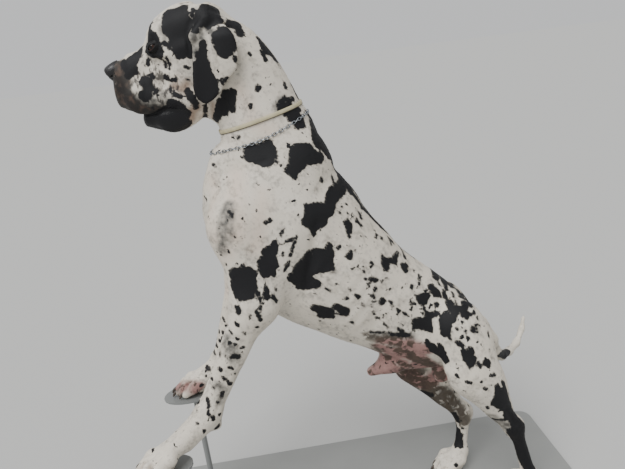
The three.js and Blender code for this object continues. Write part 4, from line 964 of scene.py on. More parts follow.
# Softer marks, the same on both sides: wet lips, blushing skin, the dark muzzle and its ticks, and the
# flank's scatter of small spots.
WET_LIP = [
    (143, 117, 1.5, 150, 118, 3), (150, 121, 6, 160, 121, 7), (165, 120, 8, 178, 121, 10),
    (172, 112, 5, 182, 112, 5),
]
BLUSH = [
    (212, 180, 2, 216, 240, 2), (236, 176, 4, 236, 236, 6), (262, 194, 2, 256, 246, 4),
    (226, 250, 2, 226, 290, 2), (240, 90, 1, 250, 110, 1), (250, 120, 1, 270, 130, 1),
    (188, 118, 1, 200, 116, 1), (180, 84, 1, 188, 88, 1),
]
DARK_MUZZLE = [
    (112, 70, 3, 118, 100, 6), (116, 98, 5, 136, 114, 6), (122, 92, 5, 134, 108, 6),
    (138, 112, 5, 166, 114, 4), (116, 66, 3, 124, 84, 4),
]
TICKING = [
    (130, 66, 8, 150, 96, 10), (152, 66, 6, 170, 90, 9), (172, 76, 4, 184, 92, 4),
    (150, 102, 3, 178, 100, 3),
]
SPRINKLED = [
    (352, 206, 8, 372, 286, 20), (372, 286, 20, 400, 316, 14), (400, 262, 12, 440, 306, 16),
    (452, 320, 10, 480, 360, 12),
]
# The deep furrows between the toes, where shade is painted in tan.
furrows = []
for leg in LEGS.values():
    for pair, fore in PAWS:
        furrows += toe_gaps(leg[pair], fore)[1::2]
painted_toe_shade_distance = np.min([capsule_distance(skin_mm, a + LIFT, b + LIFT, 3, 5) for a, b, _, _ in furrows], axis=0)
marks = {
    "black": black,
    # Grey merle, and grey painted shade on the front of each ear's fold.
    "grey": both_sides(GREY, 14),
    # Tan on the muzzle and throat, and tan painted shade in the gaps between the toes.
    "tan": np.maximum(both_sides(TAN, 14), 0.8 * soft(painted_toe_shade_distance, 10)),
    "pink": both_sides(PINK, 16),
    "dusky": both_sides(DUSKY, 22),
    "wet": both_sides(WET_LIP, 8),
    "blush": both_sides(BLUSH, 110),
    "ticked": both_sides(TICKING, 40),
    "sprinkled": both_sides(SPRINKLED, 90),
    "dark_muzzle": both_sides(DARK_MUZZLE, 44),
}


def keep(mesh, name, values, kind="FLOAT", domain="POINT"):
    """Stores a value for each point or face of a mesh, under a name."""
    field = "vector" if kind == "FLOAT_VECTOR" else "value"
    number = np.int32 if kind == "INT" else np.float32
    mesh.attributes.new(name, kind, domain).data.foreach_set(field, values.astype(number).ravel())


for name, values in marks.items():
    keep(skin_mesh, name, values)
keep(skin_mesh, "root", skin_mm / 1000, "FLOAT_VECTOR")


def add(tree, kind, out=0, **values):
    """Adds a node, sets its own settings and its inputs (by name, or _0, _1 by place), gives an output."""
    n = tree.nodes.new(kind)
    for key in [k for k in values if hasattr(n, k)]:
        setattr(n, key, values.pop(key))
    for key, value in values.items():
        socket = n.inputs[int(key[1:]) if key[1:].isdigit() else key.replace("_", " ")]
        if isinstance(value, bpy.types.NodeSocket):
            tree.links.new(value, socket)
        else:
            socket.default_value = value
    return n.outputs[out] if n.outputs else n


def linear(hex_colour):
    def channel(c):
        c = int(c, 16) / 255
        return c / 12.92 if c <= 0.04045 else ((c + 0.055) / 1.055) ** 2.4
    return tuple(channel(hex_colour[i:i + 2]) for i in (1, 3, 5)) + (1,)


def new_material(name):
    m = bpy.data.materials.new(name)
    m.use_nodes = True
    m.node_tree.nodes.clear()
    return m, m.node_tree


# Short harlequin fur: white guard hairs with pigment only in the torn patches, lying flat, so the eye
# sees a soft satin surface. Both the skin and the tufts read the same marks, at the tuft's root.
coat, t = new_material("short harlequin fur")
root = add(t, "ShaderNodeAttribute", 1, attribute_name="root")
mark = {name: add(t, "ShaderNodeAttribute", 2, attribute_name=name) for name in marks}
cloudy = add(t, "ShaderNodeTexNoise", Vector=root, Scale=9, Detail=4)
wide_tear = add(t, "ShaderNodeTexNoise", Vector=root, Scale=28, Detail=3)
fine_tear = add(t, "ShaderNodeTexNoise", Vector=root, Scale=105, Detail=4)
long_way = add(t, "ShaderNodeMapping", Vector=root, Scale=(1, 1, 0.45))
specks = add(t, "ShaderNodeTexNoise", Vector=long_way, Scale=150, Detail=3)
tufted = add(t, "ShaderNodeTexNoise", Vector=root, Scale=60, Detail=4)


def over(factor, below, above):
    return add(t, "ShaderNodeMix", 2, data_type="RGBA", _0=factor, _6=below, _7=above)


white = over(cloudy, linear("#cbc7b8"), linear("#e6e3d8"))
freckles = add(t, "ShaderNodeTexNoise", Vector=root, Scale=75, Detail=3, Roughness=0.6)
freckles = add(t, "ShaderNodeMapRange", interpolation_type="SMOOTHSTEP", Value=freckles, From_Min=0.62,
               From_Max=0.78, To_Max=0.24)
white = over(freckles, white, linear("#8f8f8d"))
blushing = add(t, "ShaderNodeMath", operation="MULTIPLY", _0=mark["blush"], _1=0.62)
white = over(blushing, white, linear("#dcb8a0"))
# Tan on the muzzle and throat, and tan painted shade in the gaps between the toes.
tanning_and_toe_shade = add(t, "ShaderNodeMath", operation="MULTIPLY", _0=mark["tan"], _1=0.75)
white = over(tanning_and_toe_shade, white, linear("#8a6f5c"))
# Grey merle smears, and grey painted shade on the front of each ear's fold.
greyed = add(t, "ShaderNodeMath", operation="MULTIPLY_ADD", _0=tufted, _1=2.2, _2=-0.32)
greyed = add(t, "ShaderNodeMath", operation="MULTIPLY", use_clamp=True, _0=greyed, _1=mark["grey"])
colour = over(greyed, white, linear("#66645f"))
colour = over(mark["pink"], colour, over(tufted, linear("#7c605b"), linear("#b18a83")))
# The muzzle darkens towards nose and lips in a brown-black roan, and fine ticks scatter over the cheek.
roan = add(t, "ShaderNodeMath", operation="MULTIPLY_ADD", _0=fine_tear, _1=0.5, _2=mark["dark_muzzle"])
roan = add(t, "ShaderNodeMath", operation="MULTIPLY_ADD", _0=wide_tear, _1=0.5, _2=roan)
roan = add(t, "ShaderNodeMapRange", interpolation_type="SMOOTHSTEP", Value=roan, From_Min=0.46,
           From_Max=0.86, To_Max=0.95)
tanned = add(t, "ShaderNodeMapRange", interpolation_type="SMOOTHSTEP", Value=tufted, From_Min=0.44,
             From_Max=0.8)
colour = over(roan, colour, over(tanned, linear("#100e0f"), linear("#55443a")))
ticks = add(t, "ShaderNodeMath", operation="MULTIPLY_ADD", _0=mark["ticked"], _1=0.23, _2=specks)
ticks = add(t, "ShaderNodeMapRange", interpolation_type="SMOOTHSTEP", Value=ticks, From_Min=0.64,
            From_Max=0.82, To_Max=0.86)
colour = over(ticks, colour, linear("#2e2a29"))
# Thin-haired skin in the groin: dark brown blotches run together where the skin is dusky, and stand
# apart on the pink.
blotches = add(t, "ShaderNodeTexNoise", Vector=root, Scale=52, Detail=3, Distortion=0.6)
dusk = add(t, "ShaderNodeMath", operation="MULTIPLY_ADD", _0=mark["dusky"], _1=0.2, _2=blotches)
dusk = add(t, "ShaderNodeMapRange", interpolation_type="SMOOTHSTEP", Value=dusk, From_Min=0.56,
           From_Max=0.66, To_Max=0.88)
in_groin = add(t, "ShaderNodeMath", operation="MAXIMUM", _0=mark["dusky"], _1=mark["pink"])
dusk = add(t, "ShaderNodeMath", operation="MULTIPLY", _0=dusk, _1=in_groin)
colour = over(dusk, colour, over(tufted, linear("#221d1a"), linear("#564a3c")))
black_fur = over(cloudy, linear("#08080a"), linear("#131317"))
spots = add(t, "ShaderNodeTexNoise", Vector=root, Scale=58, Detail=2)
spots = add(t, "ShaderNodeMath", operation="MULTIPLY_ADD", _0=mark["sprinkled"], _1=0.1, _2=spots)
spots = add(t, "ShaderNodeMapRange", interpolation_type="SMOOTHSTEP", Value=spots, From_Min=0.7,
            From_Max=0.73)
colour = over(spots, colour, black_fur)
# Millimetres from a patch's edge turn to 1 inside and 0 outside, with the edge torn by two noises.
TEAR_WIDE, TEAR_FINE = 6, 7
torn = add(t, "ShaderNodeMath", operation="MULTIPLY_ADD", _0=wide_tear, _1=2 * TEAR_WIDE, _2=mark["black"])
torn = add(t, "ShaderNodeMath", operation="MULTIPLY_ADD", _0=fine_tear, _1=2 * TEAR_FINE, _2=torn)
torn = add(t, "ShaderNodeMapRange", interpolation_type="SMOOTHSTEP", Value=torn,
           From_Min=TEAR_WIDE + TEAR_FINE + 4.0, From_Max=TEAR_WIDE + TEAR_FINE + 0.2)
colour = over(torn, colour, black_fur)
# Single hairs are far too fine to show, so the bump groups them in locks of about 2.4 mm.
fur_grain = add(t, "ShaderNodeTexNoise", Vector=root, Scale=420, Detail=4, Roughness=0.7)
fur_bump = add(t, "ShaderNodeBump", Height=fur_grain, Distance=0.0012, Strength=0.4)
gloss = add(t, "ShaderNodeMapRange", Value=mark["wet"], To_Min=0.66, To_Max=0.26)
shader = add(t, "ShaderNodeBsdfPrincipled", Base_Color=colour, Roughness=gloss, Normal=fur_bump,
             Specular_IOR_Level=0.35)
add(t, "ShaderNodeOutputMaterial", Surface=shader)
skin_mesh.materials.append(coat)
flesh = ["chest", "loin", "neck", "head", "lower_jaw", "tail"]
flesh += [f"{n}_{s}" for n in ("ear", "foreleg", "forepaw", "hindleg", "hindpaw") for s in ("left", "right")]
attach(skin, "root")
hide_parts(*flesh)

# Tufts of the coat
# The hairs lie so flat that they look like the skin's own surface, and stand clear of it only in short
# locks. Each tuft is a blade of four faces, rooted in the skin and leaning back along the lie of the
# coat: from the nose over the neck to the tail, and down the legs.
TUFT_LONG, TUFT_WIDE, TUFT_LIFT, TUFT_STRAY = 7.2, 1.4, 0.12, 0.14
TUFTS_EACH = 46000
COAT_PARTS = ("head", "front", "middle", "rear")
lie = np.tile(np.array([0.72, 0.0, -0.69]), (len(vertices), 1))
leg_down = ramp(700 - vertices[:, 2], 0, 160)[:, None]
lie = lie * (1 - leg_down) + np.array([0.12, 0, -1.0]) * leg_down
fore_part = (vertices[:, 0] < -100)[:, None] * leg_down
lie = lie * (1 - fore_part) + np.array([-0.5, 0, -0.86]) * fore_part
on_head = (ramp(-180 - vertices[:, 0], -60, 60) * ramp(vertices[:, 2], 1240, 1330))[:, None]
lie = lie * (1 - on_head) + (-MUZZLE_WAY + np.array([0, 0, -0.25])) * on_head
tail_line = np.array(TAIL, float)
for a, b in zip(tail_line[1:-1], tail_line[2:]):
    lie[near_to(vertices, (a + b) / 2, 46)] = (b - a) / np.linalg.norm(b - a)
under_leather = near_to(vertices, head_point(104, 0, -26), 32).astype(float)
bare = np.maximum.reduce([marks["pink"], marks["wet"], under_leather])
feet = (vertices[:, 2] < 90) | (vertices[:, 2] < 480) & (vertices[:, 0] < -330)
fur = np.clip(1 - np.maximum(on_head[:, 0] * 0.6, feet * 0.55), 0.3, 1) * (1 - 0.88 * bare)
keep(skin_mesh, "lie", lie, "FLOAT_VECTOR")
keep(skin_mesh, "fur", fur)
heart = corners.mean(1)
coat_part = np.select([on_head[triangles, 0].mean(1) > 0.5, heart[:, 0] - heart[:, 2] * 0.5 < -440,
                       heart[:, 0] < 215], [0, 1, 2], 3).astype(np.int32)
face_of = np.empty(len(triangles), np.int32)
skin_mesh.loop_triangles.foreach_get("polygon_index", face_of)
part_of_face = np.zeros(len(skin_mesh.polygons), np.int32)
part_of_face[face_of] = coat_part
keep(skin_mesh, "coat_part", part_of_face, "INT", "FACE")

# The tufts' own picture coordinates come from an unwrap of the skin, so that its patches keep their marks.
bpy.context.view_layer.objects.active = skin
skin.select_set(True)
skin_mesh.uv_layers.new(name="skin_unwrap")
bpy.ops.object.mode_set(mode="EDIT")
bpy.ops.mesh.select_all(action="SELECT")
bpy.ops.uv.smart_project(angle_limit=math.radians(66), island_margin=0.001)
bpy.ops.object.mode_set(mode="OBJECT")
skin.select_set(False)


def new_tree(name, result, inputs):
    """A tree of geometry nodes with named inputs, each with its kind, and one shape as its result."""
    tree = bpy.data.node_groups.new(name, "GeometryNodeTree")
    for label, kind in inputs.items():
        tree.interface.new_socket(label, in_out="INPUT", socket_type="NodeSocket" + kind)
    tree.interface.new_socket(result, in_out="OUTPUT", socket_type="NodeSocketGeometry")
    return tree, tree.nodes.new("NodeGroupInput").outputs


def grown(o, tree, values):
    """Runs a tree on an object with the named values, and keeps the plain mesh that it makes."""
    modifier = o.modifiers.new("grown", "NODES")
    modifier.node_group = tree
    for item in tree.interface.items_tree:
        if item.in_out == "INPUT" and item.name in values:
            modifier[item.identifier] = values[item.name]
    bpy.context.view_layer.update()
    made = bpy.data.meshes.new_from_object(o.evaluated_get(bpy.context.evaluated_depsgraph_get()))
    o.modifiers.clear()
    o.data = made
    return made


g, given = new_tree("tufts on skin", "Tufts", {"Skin": "Geometry", "Part": "Int", "Per square metre": "Float",
                                               "Long": "Float", "Wide": "Float", "Lift": "Float",
                                               "Seed": "Int", "Fur": "Material"})
in_part = add(g, "FunctionNodeCompare", data_type="INT", operation="EQUAL", _3=given["Part"],
              _2=add(g, "GeometryNodeInputNamedAttribute", data_type="INT", Name="coat_part"))
spots = add(g, "GeometryNodeDistributePointsOnFaces", Mesh=given["Skin"], Selection=in_part,
            Density=given["Per square metre"], Seed=given["Seed"])
normal = spots.node.outputs[1]
lying = add(g, "GeometryNodeInputNamedAttribute", data_type="FLOAT_VECTOR", Name="lie")
upright = add(g, "ShaderNodeVectorMath", operation="PROJECT", _0=lying, _1=normal)
lying = add(g, "ShaderNodeVectorMath", operation="SUBTRACT", _0=lying, _1=upright)
lying = add(g, "ShaderNodeVectorMath", operation="NORMALIZE", _0=lying)
lifted = add(g, "ShaderNodeVectorMath", operation="SCALE", _0=normal, Scale=given["Lift"])
lying = add(g, "ShaderNodeVectorMath", operation="ADD", _0=lying, _1=lifted)
stray = add(g, "FunctionNodeRandomValue", data_type="FLOAT_VECTOR", _0=[-TUFT_STRAY] * 3, _1=[TUFT_STRAY] * 3,
            Seed=given["Seed"])
lying = add(g, "ShaderNodeVectorMath", operation="ADD", _0=lying, _1=stray)
turned = add(g, "FunctionNodeAlignRotationToVector", axis="Z", Vector=lying)
turned = add(g, "FunctionNodeAlignRotationToVector", axis="Y", pivot_axis="Z", Rotation=turned, Vector=normal)
length = add(g, "GeometryNodeInputNamedAttribute", data_type="FLOAT", Name="fur")
wide = add(g, "ShaderNodeMath", operation="MULTIPLY_ADD", _0=length, _1=0.5, _2=0.5)
wide = add(g, "ShaderNodeMath", operation="MULTIPLY", _0=given["Wide"], _1=wide)
thick = add(g, "ShaderNodeMath", operation="MULTIPLY", _0=wide, _1=0.4)
uneven = add(g, "FunctionNodeRandomValue", 1, data_type="FLOAT", _2=0.7, _3=1.25, Seed=given["Seed"])
length = add(g, "ShaderNodeMath", operation="MULTIPLY", _0=length, _1=uneven)
length = add(g, "ShaderNodeMath", operation="MULTIPLY", _0=length, _1=given["Long"])
blade = add(g, "GeometryNodeMeshCone", Vertices=3, Radius_Top=0.0, Radius_Bottom=0.5, Depth=1.0)
flat = add(g, "ShaderNodeVectorMath", operation="MULTIPLY", _0=add(g, "GeometryNodeInputPosition"),
           _1=(1, 1, 0))
blade = add(g, "GeometryNodeStoreNamedAttribute", data_type="FLOAT_VECTOR", domain="POINT", Geometry=blade,
            Name="patch", Value=flat)
sunk = add(g, "ShaderNodeVectorMath", operation="SCALE", _0=normal, Scale=-0.0004)
spots = add(g, "GeometryNodeSetPosition", Geometry=spots, Offset=sunk)
tufts = add(g, "GeometryNodeInstanceOnPoints", Points=spots, Instance=blade, Rotation=turned,
            Scale=add(g, "ShaderNodeCombineXYZ", X=wide, Y=thick, Z=length))
tufts = add(g, "GeometryNodeRealizeInstances", Geometry=tufts)
unwrapped = add(g, "GeometryNodeInputNamedAttribute", data_type="FLOAT_VECTOR", Name="skin_unwrap")
patch = add(g, "GeometryNodeInputNamedAttribute", data_type="FLOAT_VECTOR", Name="patch")
patch = add(g, "ShaderNodeVectorMath", operation="MULTIPLY_ADD", _0=patch, _1=(0.003, 0.003, 0), _2=unwrapped)
tufts = add(g, "GeometryNodeStoreNamedAttribute", data_type="FLOAT2", domain="CORNER", Geometry=tufts,
            Name="OFBake", Value=patch)
tufts = add(g, "GeometryNodeSetMaterial", Geometry=tufts, Material=given["Fur"])
g.links.new(tufts, g.nodes.new("NodeGroupOutput").inputs["Tufts"])

for number, part_name in enumerate(COAT_PARTS):
    tuft = bpy.data.objects.new("coat_" + part_name, skin_mesh.copy())
    bpy.context.scene.collection.objects.link(tuft)
    area = face_area[coat_part == number].sum() / 1e6
    made = grown(tuft, g, {"Part": number, "Per square metre": TUFTS_EACH / area, "Long": TUFT_LONG / 1000,
                           "Wide": TUFT_WIDE / 1000, "Lift": TUFT_LIFT, "Seed": 5 + number, "Fur": coat})
    for spare in ("lie", "fur", "patch", "skin_unwrap", "coat_part", "uv_map"):
        if spare in made.attributes:
            made.attributes.remove(made.attributes[spare])
    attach(tuft, "root")
for spare in ("lie", "fur", "coat_part"):
    skin_mesh.attributes.remove(skin_mesh.attributes[spare])

# Eyes
# Dark brown irises under a clear wet cornea, set in black lids that lie on the ball and run out into
# the face. A thin line of pink shows along the lower lid.
IRIS, PUPIL = 0.66, 0.27
CORNEA_RISE, CORNEA_WIDE = 0.05, 0.36
EYE_RINGS, EYE_SIDES = 30, 40
# Half the length of the slit and its height above and below, and the same for the lids' outer edge.
LID_HALF, LID_TOP, LID_LOW = 10.8, 4.6, 5.2
LID_OUT, LID_OUT_TOP, LID_OUT_LOW = 20, 15.5, 15
LID_BALL = EYE_RADIUS * 1.045
# From the slit's edge to the lid's outer edge: how far along, and how far it stands up.
LID_STEPS = [(-0.10, -1.0), (0.0, 0.0), (0.04, 1.0), (0.14, 1.5), (0.3, 1.2), (0.5, 0.7), (0.75, 0.2),
             (1.0, -0.6)]


def surface(name, points, faces, material):
    o = mesh_object(name, on_stand(points), faces)
    shape = bmesh.new()
    shape.from_mesh(o.data)
    bmesh.ops.recalc_face_normals(shape, faces=shape.faces)
    shape.to_mesh(o.data)
    shape.free()
    o.data.materials.append(material)
    o.data.shade_smooth()
    return o


def eye_frame(side):
    centre = head_point(EYE[0], side * EYE[1], EYE[2])
    gaze = MUZZLE_WAY * 0.34 + np.array([0, side * 0.92, 0]) + BROW_WAY * 0.06
    gaze /= np.linalg.norm(gaze)
    ahead = MUZZLE_WAY - MUZZLE_WAY.dot(gaze) * gaze
    ahead /= np.linalg.norm(ahead)
    lid_up = np.cross(gaze, ahead) * (1 if np.cross(gaze, ahead) @ BROW_WAY > 0 else -1)
    return centre, gaze, ahead, lid_up


def rings(rows):
    """Quads between rows of points that each run round in a ring."""
    n, m = rows.shape[:2]
    i, j = np.meshgrid(np.arange(n - 1), np.arange(m), indexing="ij")
    k = (j + 1) % m
    return np.stack([i * m + j, i * m + k, (i + 1) * m + k, (i + 1) * m + j], -1).reshape(-1, 4)


# A wet cornea over brown fibres is nearly black, with small sharp glints.
eyeball, t = new_material("wet dark brown eye")
turn = add(t, "ShaderNodeAttribute", 2, attribute_name="turn")
fibres = add(t, "ShaderNodeTexNoise", Vector=add(t, "ShaderNodeTexCoord", 3), Scale=900, Detail=3)
iris = over(fibres, linear("#160b06"), linear("#3a2010"))
edge = add(t, "ShaderNodeMapRange", interpolation_type="SMOOTHSTEP", Value=turn, From_Min=IRIS - 0.05,
           From_Max=IRIS + 0.03)
colour = over(edge, iris, linear("#1c1310"))
hole = add(t, "ShaderNodeMapRange", interpolation_type="SMOOTHSTEP", Value=turn, From_Min=PUPIL + 0.02,
           From_Max=PUPIL - 0.02)
colour = over(hole, colour, linear("#050404"))
shader = add(t, "ShaderNodeBsdfPrincipled", Base_Color=colour, Roughness=0.1,
             Specular_IOR_Level=0.25, Coat_Weight=0.25, Coat_Roughness=0.02)
add(t, "ShaderNodeOutputMaterial", Surface=shader)

# Bare black skin of the lids: smooth and a little moist, so it shines softly.
lid_skin, t = new_material("moist black eyelid skin")
rim = add(t, "ShaderNodeAttribute", 2, attribute_name="rim")
grain = add(t, "ShaderNodeTexNoise", Vector=add(t, "ShaderNodeTexCoord", 3), Scale=700, Detail=3)
lid_bump = add(t, "ShaderNodeBump", Height=grain, Distance=0.0006, Strength=0.5)
colour = over(rim, linear("#070607"), linear("#3c1f1d"))
shader = add(t, "ShaderNodeBsdfPrincipled", Base_Color=colour, Roughness=0.58, Normal=lid_bump,
             Specular_IOR_Level=0.3)
add(t, "ShaderNodeOutputMaterial", Surface=shader)

for side, label in ((-1, "left"), (1, "right")):
    centre, gaze, ahead, lid_up = eye_frame(side)
    around = np.linspace(0, 2 * np.pi, EYE_SIDES, endpoint=False)
    polar = np.linspace(0.02, np.pi - 0.02, EYE_RINGS)
    bulge = EYE_RADIUS * (1 + CORNEA_RISE * np.exp(-(polar / CORNEA_WIDE) ** 2))
    ring = np.cos(around)[:, None] * ahead - side * np.sin(around)[:, None] * lid_up
    rows = np.cos(polar)[:, None, None] * gaze + np.sin(polar)[:, None, None] * ring
    rows = centre + bulge[:, None, None] * rows
    ball_object = surface("eye_" + label + "_ball", rows.reshape(-1, 3), rings(rows), eyeball)
    keep(ball_object.data, "turn", np.repeat(polar, EYE_SIDES))
    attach(ball_object, "root")
    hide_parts("eye_" + label)

    u, v = np.cos(around), np.sin(around)
    rim_u, out_u = LID_HALF * u, LID_OUT * u
    rim_v = np.where(v > 0, LID_TOP, LID_LOW) * v * (1 - 0.2 * np.abs(u) ** 3) - 1.8 * u
    out_v = np.where(v > 0, LID_OUT_TOP, LID_OUT_LOW) * v
    height = np.sqrt(np.maximum(LID_BALL ** 2 - rim_u ** 2 - rim_v ** 2, 4))
    inner = centre + height[:, None] * gaze + rim_u[:, None] * ahead + rim_v[:, None] * lid_up
    outer = centre + EYE_RADIUS * gaze + out_u[:, None] * ahead + out_v[:, None] * lid_up
    found = [picture_skin.find_nearest(Vector(p)) for p in on_stand(outer)]
    outer = np.array([f[0] for f in found]) * 1000 - LIFT - 1.6 * np.array([f[1] for f in found])
    rows = np.stack([inner + (outer - inner) * k + gaze * lift for k, lift in LID_STEPS])
    # Where a lid would pass through the ball it is carried over it.
    from_ball = np.linalg.norm(rows[1:-1] - centre, axis=2, keepdims=True)
    clear = LID_BALL + np.array([lift for _, lift in LID_STEPS[1:-1]])[:, None, None]
    rows[1:-1] = centre + (rows[1:-1] - centre) * np.maximum(clear / from_ball, 1)
    lids = surface("eye_" + label + "_lids", rows.reshape(-1, 3), rings(rows), lid_skin)
    if sum(p.normal.dot(Vector(gaze)) for p in lids.data.polygons) < 0:
        lids.data.flip_normals()
    pink_line = np.zeros((len(LID_STEPS), EYE_SIDES))
    pink_line[:2] = np.where(v < -0.2, 0.55, 0.05)
    keep(lids.data, "rim", pink_line)
    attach(lids, "root")

# Nose
# A wet, pebbled leather with two comma-shaped openings that run out to slits at the sides, and a groove
# down its middle to the lip. It is one with the skin behind it.
nose_form = joined(10, ball((98, 0, -19), (29, 22, 25)), ball((104, 0, -36), (15, 14, 15)),
                   *[ball((102, s * 14, -23), (20, 11, 15)) for s in (-1, 1)])
openings = [joined(3, limb((126, s * 9, -20), (112, s * 10, -18), 4.6, 3.2),
                   limb((119, s * 12, -23), (104, s * 24, -31), 3.2, 1.7)) for s in (-1, 1)]
groove = limb((126, 0, -18), (120, 0, -54), 1.6, 1.6)


def nose_field(p):
    """Rounded leather, flattened in front and above, with its openings and groove cut in."""
    d = nose_form.field(p)
    front = p[:, 0] - 121.5 - 0.2 * (p[:, 2] + 12)
    top = p[:, 2] + 0.12 * (p[:, 0] - 100) + 1
    for flat in (front, top):
        d = -smooth_min(-d, -flat, 9)
    for cut in (*openings, groove):
        d = -smooth_min(-d, cut.field(p), 3)
    return d


NOSE_CELL = 1.3
nose_points, nose_quads = net(nose_field, lines((80, 132, NOSE_CELL)), lines((-30, 30, NOSE_CELL)),
                              lines((-60, 8, NOSE_CELL)))
nose_points = soften(settle(nose_field, nose_points), nose_quads, np.full(len(nose_points), 0.4), 2)
nose_place = STOP + nose_points[:, :1] * MUZZLE_WAY + nose_points[:, 2:] * BROW_WAY
nose_place[:, 1] += nose_points[:, 1]
# Pebbles of about 1 mm, drawn at 1.6 mm so that they show, under a film of moisture that glints.
leather, t = new_material("wet pebbled nose leather")
here = add(t, "ShaderNodeTexCoord", 3)
pebbles = add(t, "ShaderNodeTexVoronoi", Vector=here, Scale=620, feature="SMOOTH_F1")
pebble_bump = add(t, "ShaderNodeBump", Height=pebbles, Distance=0.0007, Strength=0.55, invert=True)
tint = add(t, "ShaderNodeTexNoise", Vector=here, Scale=90, Detail=3)
colour = over(tint, linear("#0b0b0d"), linear("#1d1b1d"))
shader = add(t, "ShaderNodeBsdfPrincipled", Base_Color=colour, Roughness=0.34, Normal=pebble_bump)
add(t, "ShaderNodeOutputMaterial", Surface=shader)
nose = surface("nose_leather", nose_place, nose_quads, leather)
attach(nose, "root")
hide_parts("nose")

# Claws
# Blunt dark horn, worn by hard ground, one to a toe, curved down and a little flattened at the sides.
# It is dull with a faint sheen, and its fine grain is drawn as flecks of 4 mm so that it shows.
horn, t = new_material("worn dark claw horn")
here = add(t, "ShaderNodeTexCoord", 3)
flecks = add(t, "ShaderNodeTexNoise", Vector=here, Scale=260, Detail=3)
horn_bump = add(t, "ShaderNodeBump", Height=flecks, Distance=0.0004, Strength=0.5)
colour = over(flecks, linear("#1c1815"), linear("#5d5147"))
shader = add(t, "ShaderNodeBsdfPrincipled", Base_Color=colour, Roughness=0.42, Normal=horn_bump)
add(t, "ShaderNodeOutputMaterial", Surface=shader)
CLAW_LINE = [(8, 19, 5.4), (16, 19, 5.4), (22, 16, 4.8), (26.5, 10.5, 3.6), (28.5, 5.5, 1.7)]
CLAW_TIP, CLAW_FLAT, CLAW_SIDES = (28.5, 4.4), 0.8, 12
claw_around = np.linspace(0, 2 * np.pi, CLAW_SIDES, endpoint=False)
for leg_name, leg in LEGS.items():
    for pair, fore in PAWS:
        at = paw_at(leg[pair])
        for number, (across, ahead) in enumerate(toes(fore), 1):
            rows = []
            for i, (out, up, radius) in enumerate(CLAW_LINE):
                lean = i / (len(CLAW_LINE) - 1) * 1.1
                rows.append([at(ahead + out + radius * math.sin(a) * math.sin(lean),
                                across + CLAW_FLAT * radius * math.cos(a),
                                up + radius * math.sin(a) * math.cos(lean)) for a in claw_around])
            rows.append([at(ahead + CLAW_TIP[0], across, CLAW_TIP[1])] * CLAW_SIDES)
            rows = np.array(rows)
            claw = surface(f"horn_{pair}_{leg_name}_{number}", rows.reshape(-1, 3), rings(rows), horn)
            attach(claw, "root")
            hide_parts(f"claw_{pair}_{leg_name}_{number}")

# Strap
# A thin flat strap of cream leather with rounded edges, pressed with fine ribs and darkened along its
# lower edge. It lies closely round the neck.
STRAP_WIDE, STRAP_THICK, STRAP_OFF = 11, 3, 1.4
STRAP_PLANE = ((-100, 1237), (0.976, 0.218))
STRAP_POINTS = 180
RIB_TURN = 3.9


def round_neck(plane, count, off, sag=0):
    """A closed line on the skin where a plane cuts the neck, lifted off it, and the way out at each point."""
    (x, z), (dx, dz) = plane
    middle, along = np.array([x, 0, z], float), np.array([dx, 0, dz], float)
    points, ways = [], []
    for a in np.linspace(0, 2 * np.pi, count, endpoint=False):
        way = math.cos(a) * along + math.sin(a) * np.array([0, 1, 0])
        start = on_stand(middle + way * 260 - np.array([0, 0, sag * math.sin(a) ** 2]))
        hit = picture_skin.ray_cast(Vector(start), Vector(-way))[0]
        points.append(np.array(hit) * 1000 - LIFT + way * off)
        ways.append(way)
    points, ways = np.array(points), np.array(ways)
    for _ in range(12):
        points = 0.5 * points + 0.25 * (np.roll(points, 1, 0) + np.roll(points, -1, 0))
    return points, ways


strap_line, strap_out = round_neck(STRAP_PLANE, STRAP_POINTS, STRAP_OFF)
strap_tall = np.cross([STRAP_PLANE[1][0], 0, STRAP_PLANE[1][1]], [0, 1, 0])
section = [(-0.5, 0.0), (-0.5, 0.6), (-0.42, 1.0), (0.42, 1.0), (0.5, 0.6), (0.5, 0.0), (0.3, -0.1),
           (-0.3, -0.1)]
rows = np.stack([strap_line + strap_tall * across * STRAP_WIDE + strap_out * up * STRAP_THICK
                 for across, up in section], 1)
loop = np.concatenate([rows, rows[:1]])
faces = rings(loop) % (STRAP_POINTS * len(section))
ribbed_leather, t = new_material("ribbed cream leather")
along = add(t, "ShaderNodeAttribute", 2, attribute_name="along")
across = add(t, "ShaderNodeAttribute", 2, attribute_name="across")
# Ribs of 0.8 mm give a matt, even grain; RIB_TURN radians to a millimetre draw them at 1.6 mm so that
# they show.
ribs = add(t, "ShaderNodeMath", operation="MULTIPLY", _0=along, _1=RIB_TURN)
ribs = add(t, "ShaderNodeMath", operation="SINE", _0=ribs)
soil = add(t, "ShaderNodeTexNoise", Vector=add(t, "ShaderNodeTexCoord", 3), Scale=55, Detail=4)
colour = over(soil, linear("#a99f7c"), linear("#d8cfae"))
dark_edge = add(t, "ShaderNodeMapRange", Value=across, From_Min=-0.30, From_Max=-0.36)
colour = over(dark_edge, colour, linear("#4d4636"))
rib_bump = add(t, "ShaderNodeBump", Height=ribs, Distance=0.0003, Strength=0.6)
shader = add(t, "ShaderNodeBsdfPrincipled", Base_Color=colour, Roughness=0.7, Normal=rib_bump)
add(t, "ShaderNodeOutputMaterial", Surface=shader)
strap = surface("neck_strap", rows.reshape(-1, 3), faces, ribbed_leather)
run = np.concatenate([[0], np.cumsum(np.linalg.norm(np.diff(strap_line, axis=0), axis=1))])
keep(strap.data, "along", np.repeat(run, len(section)))
keep(strap.data, "across", np.tile([a for a, _ in section], STRAP_POINTS))
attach(strap, "root")
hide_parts("collar_strap")

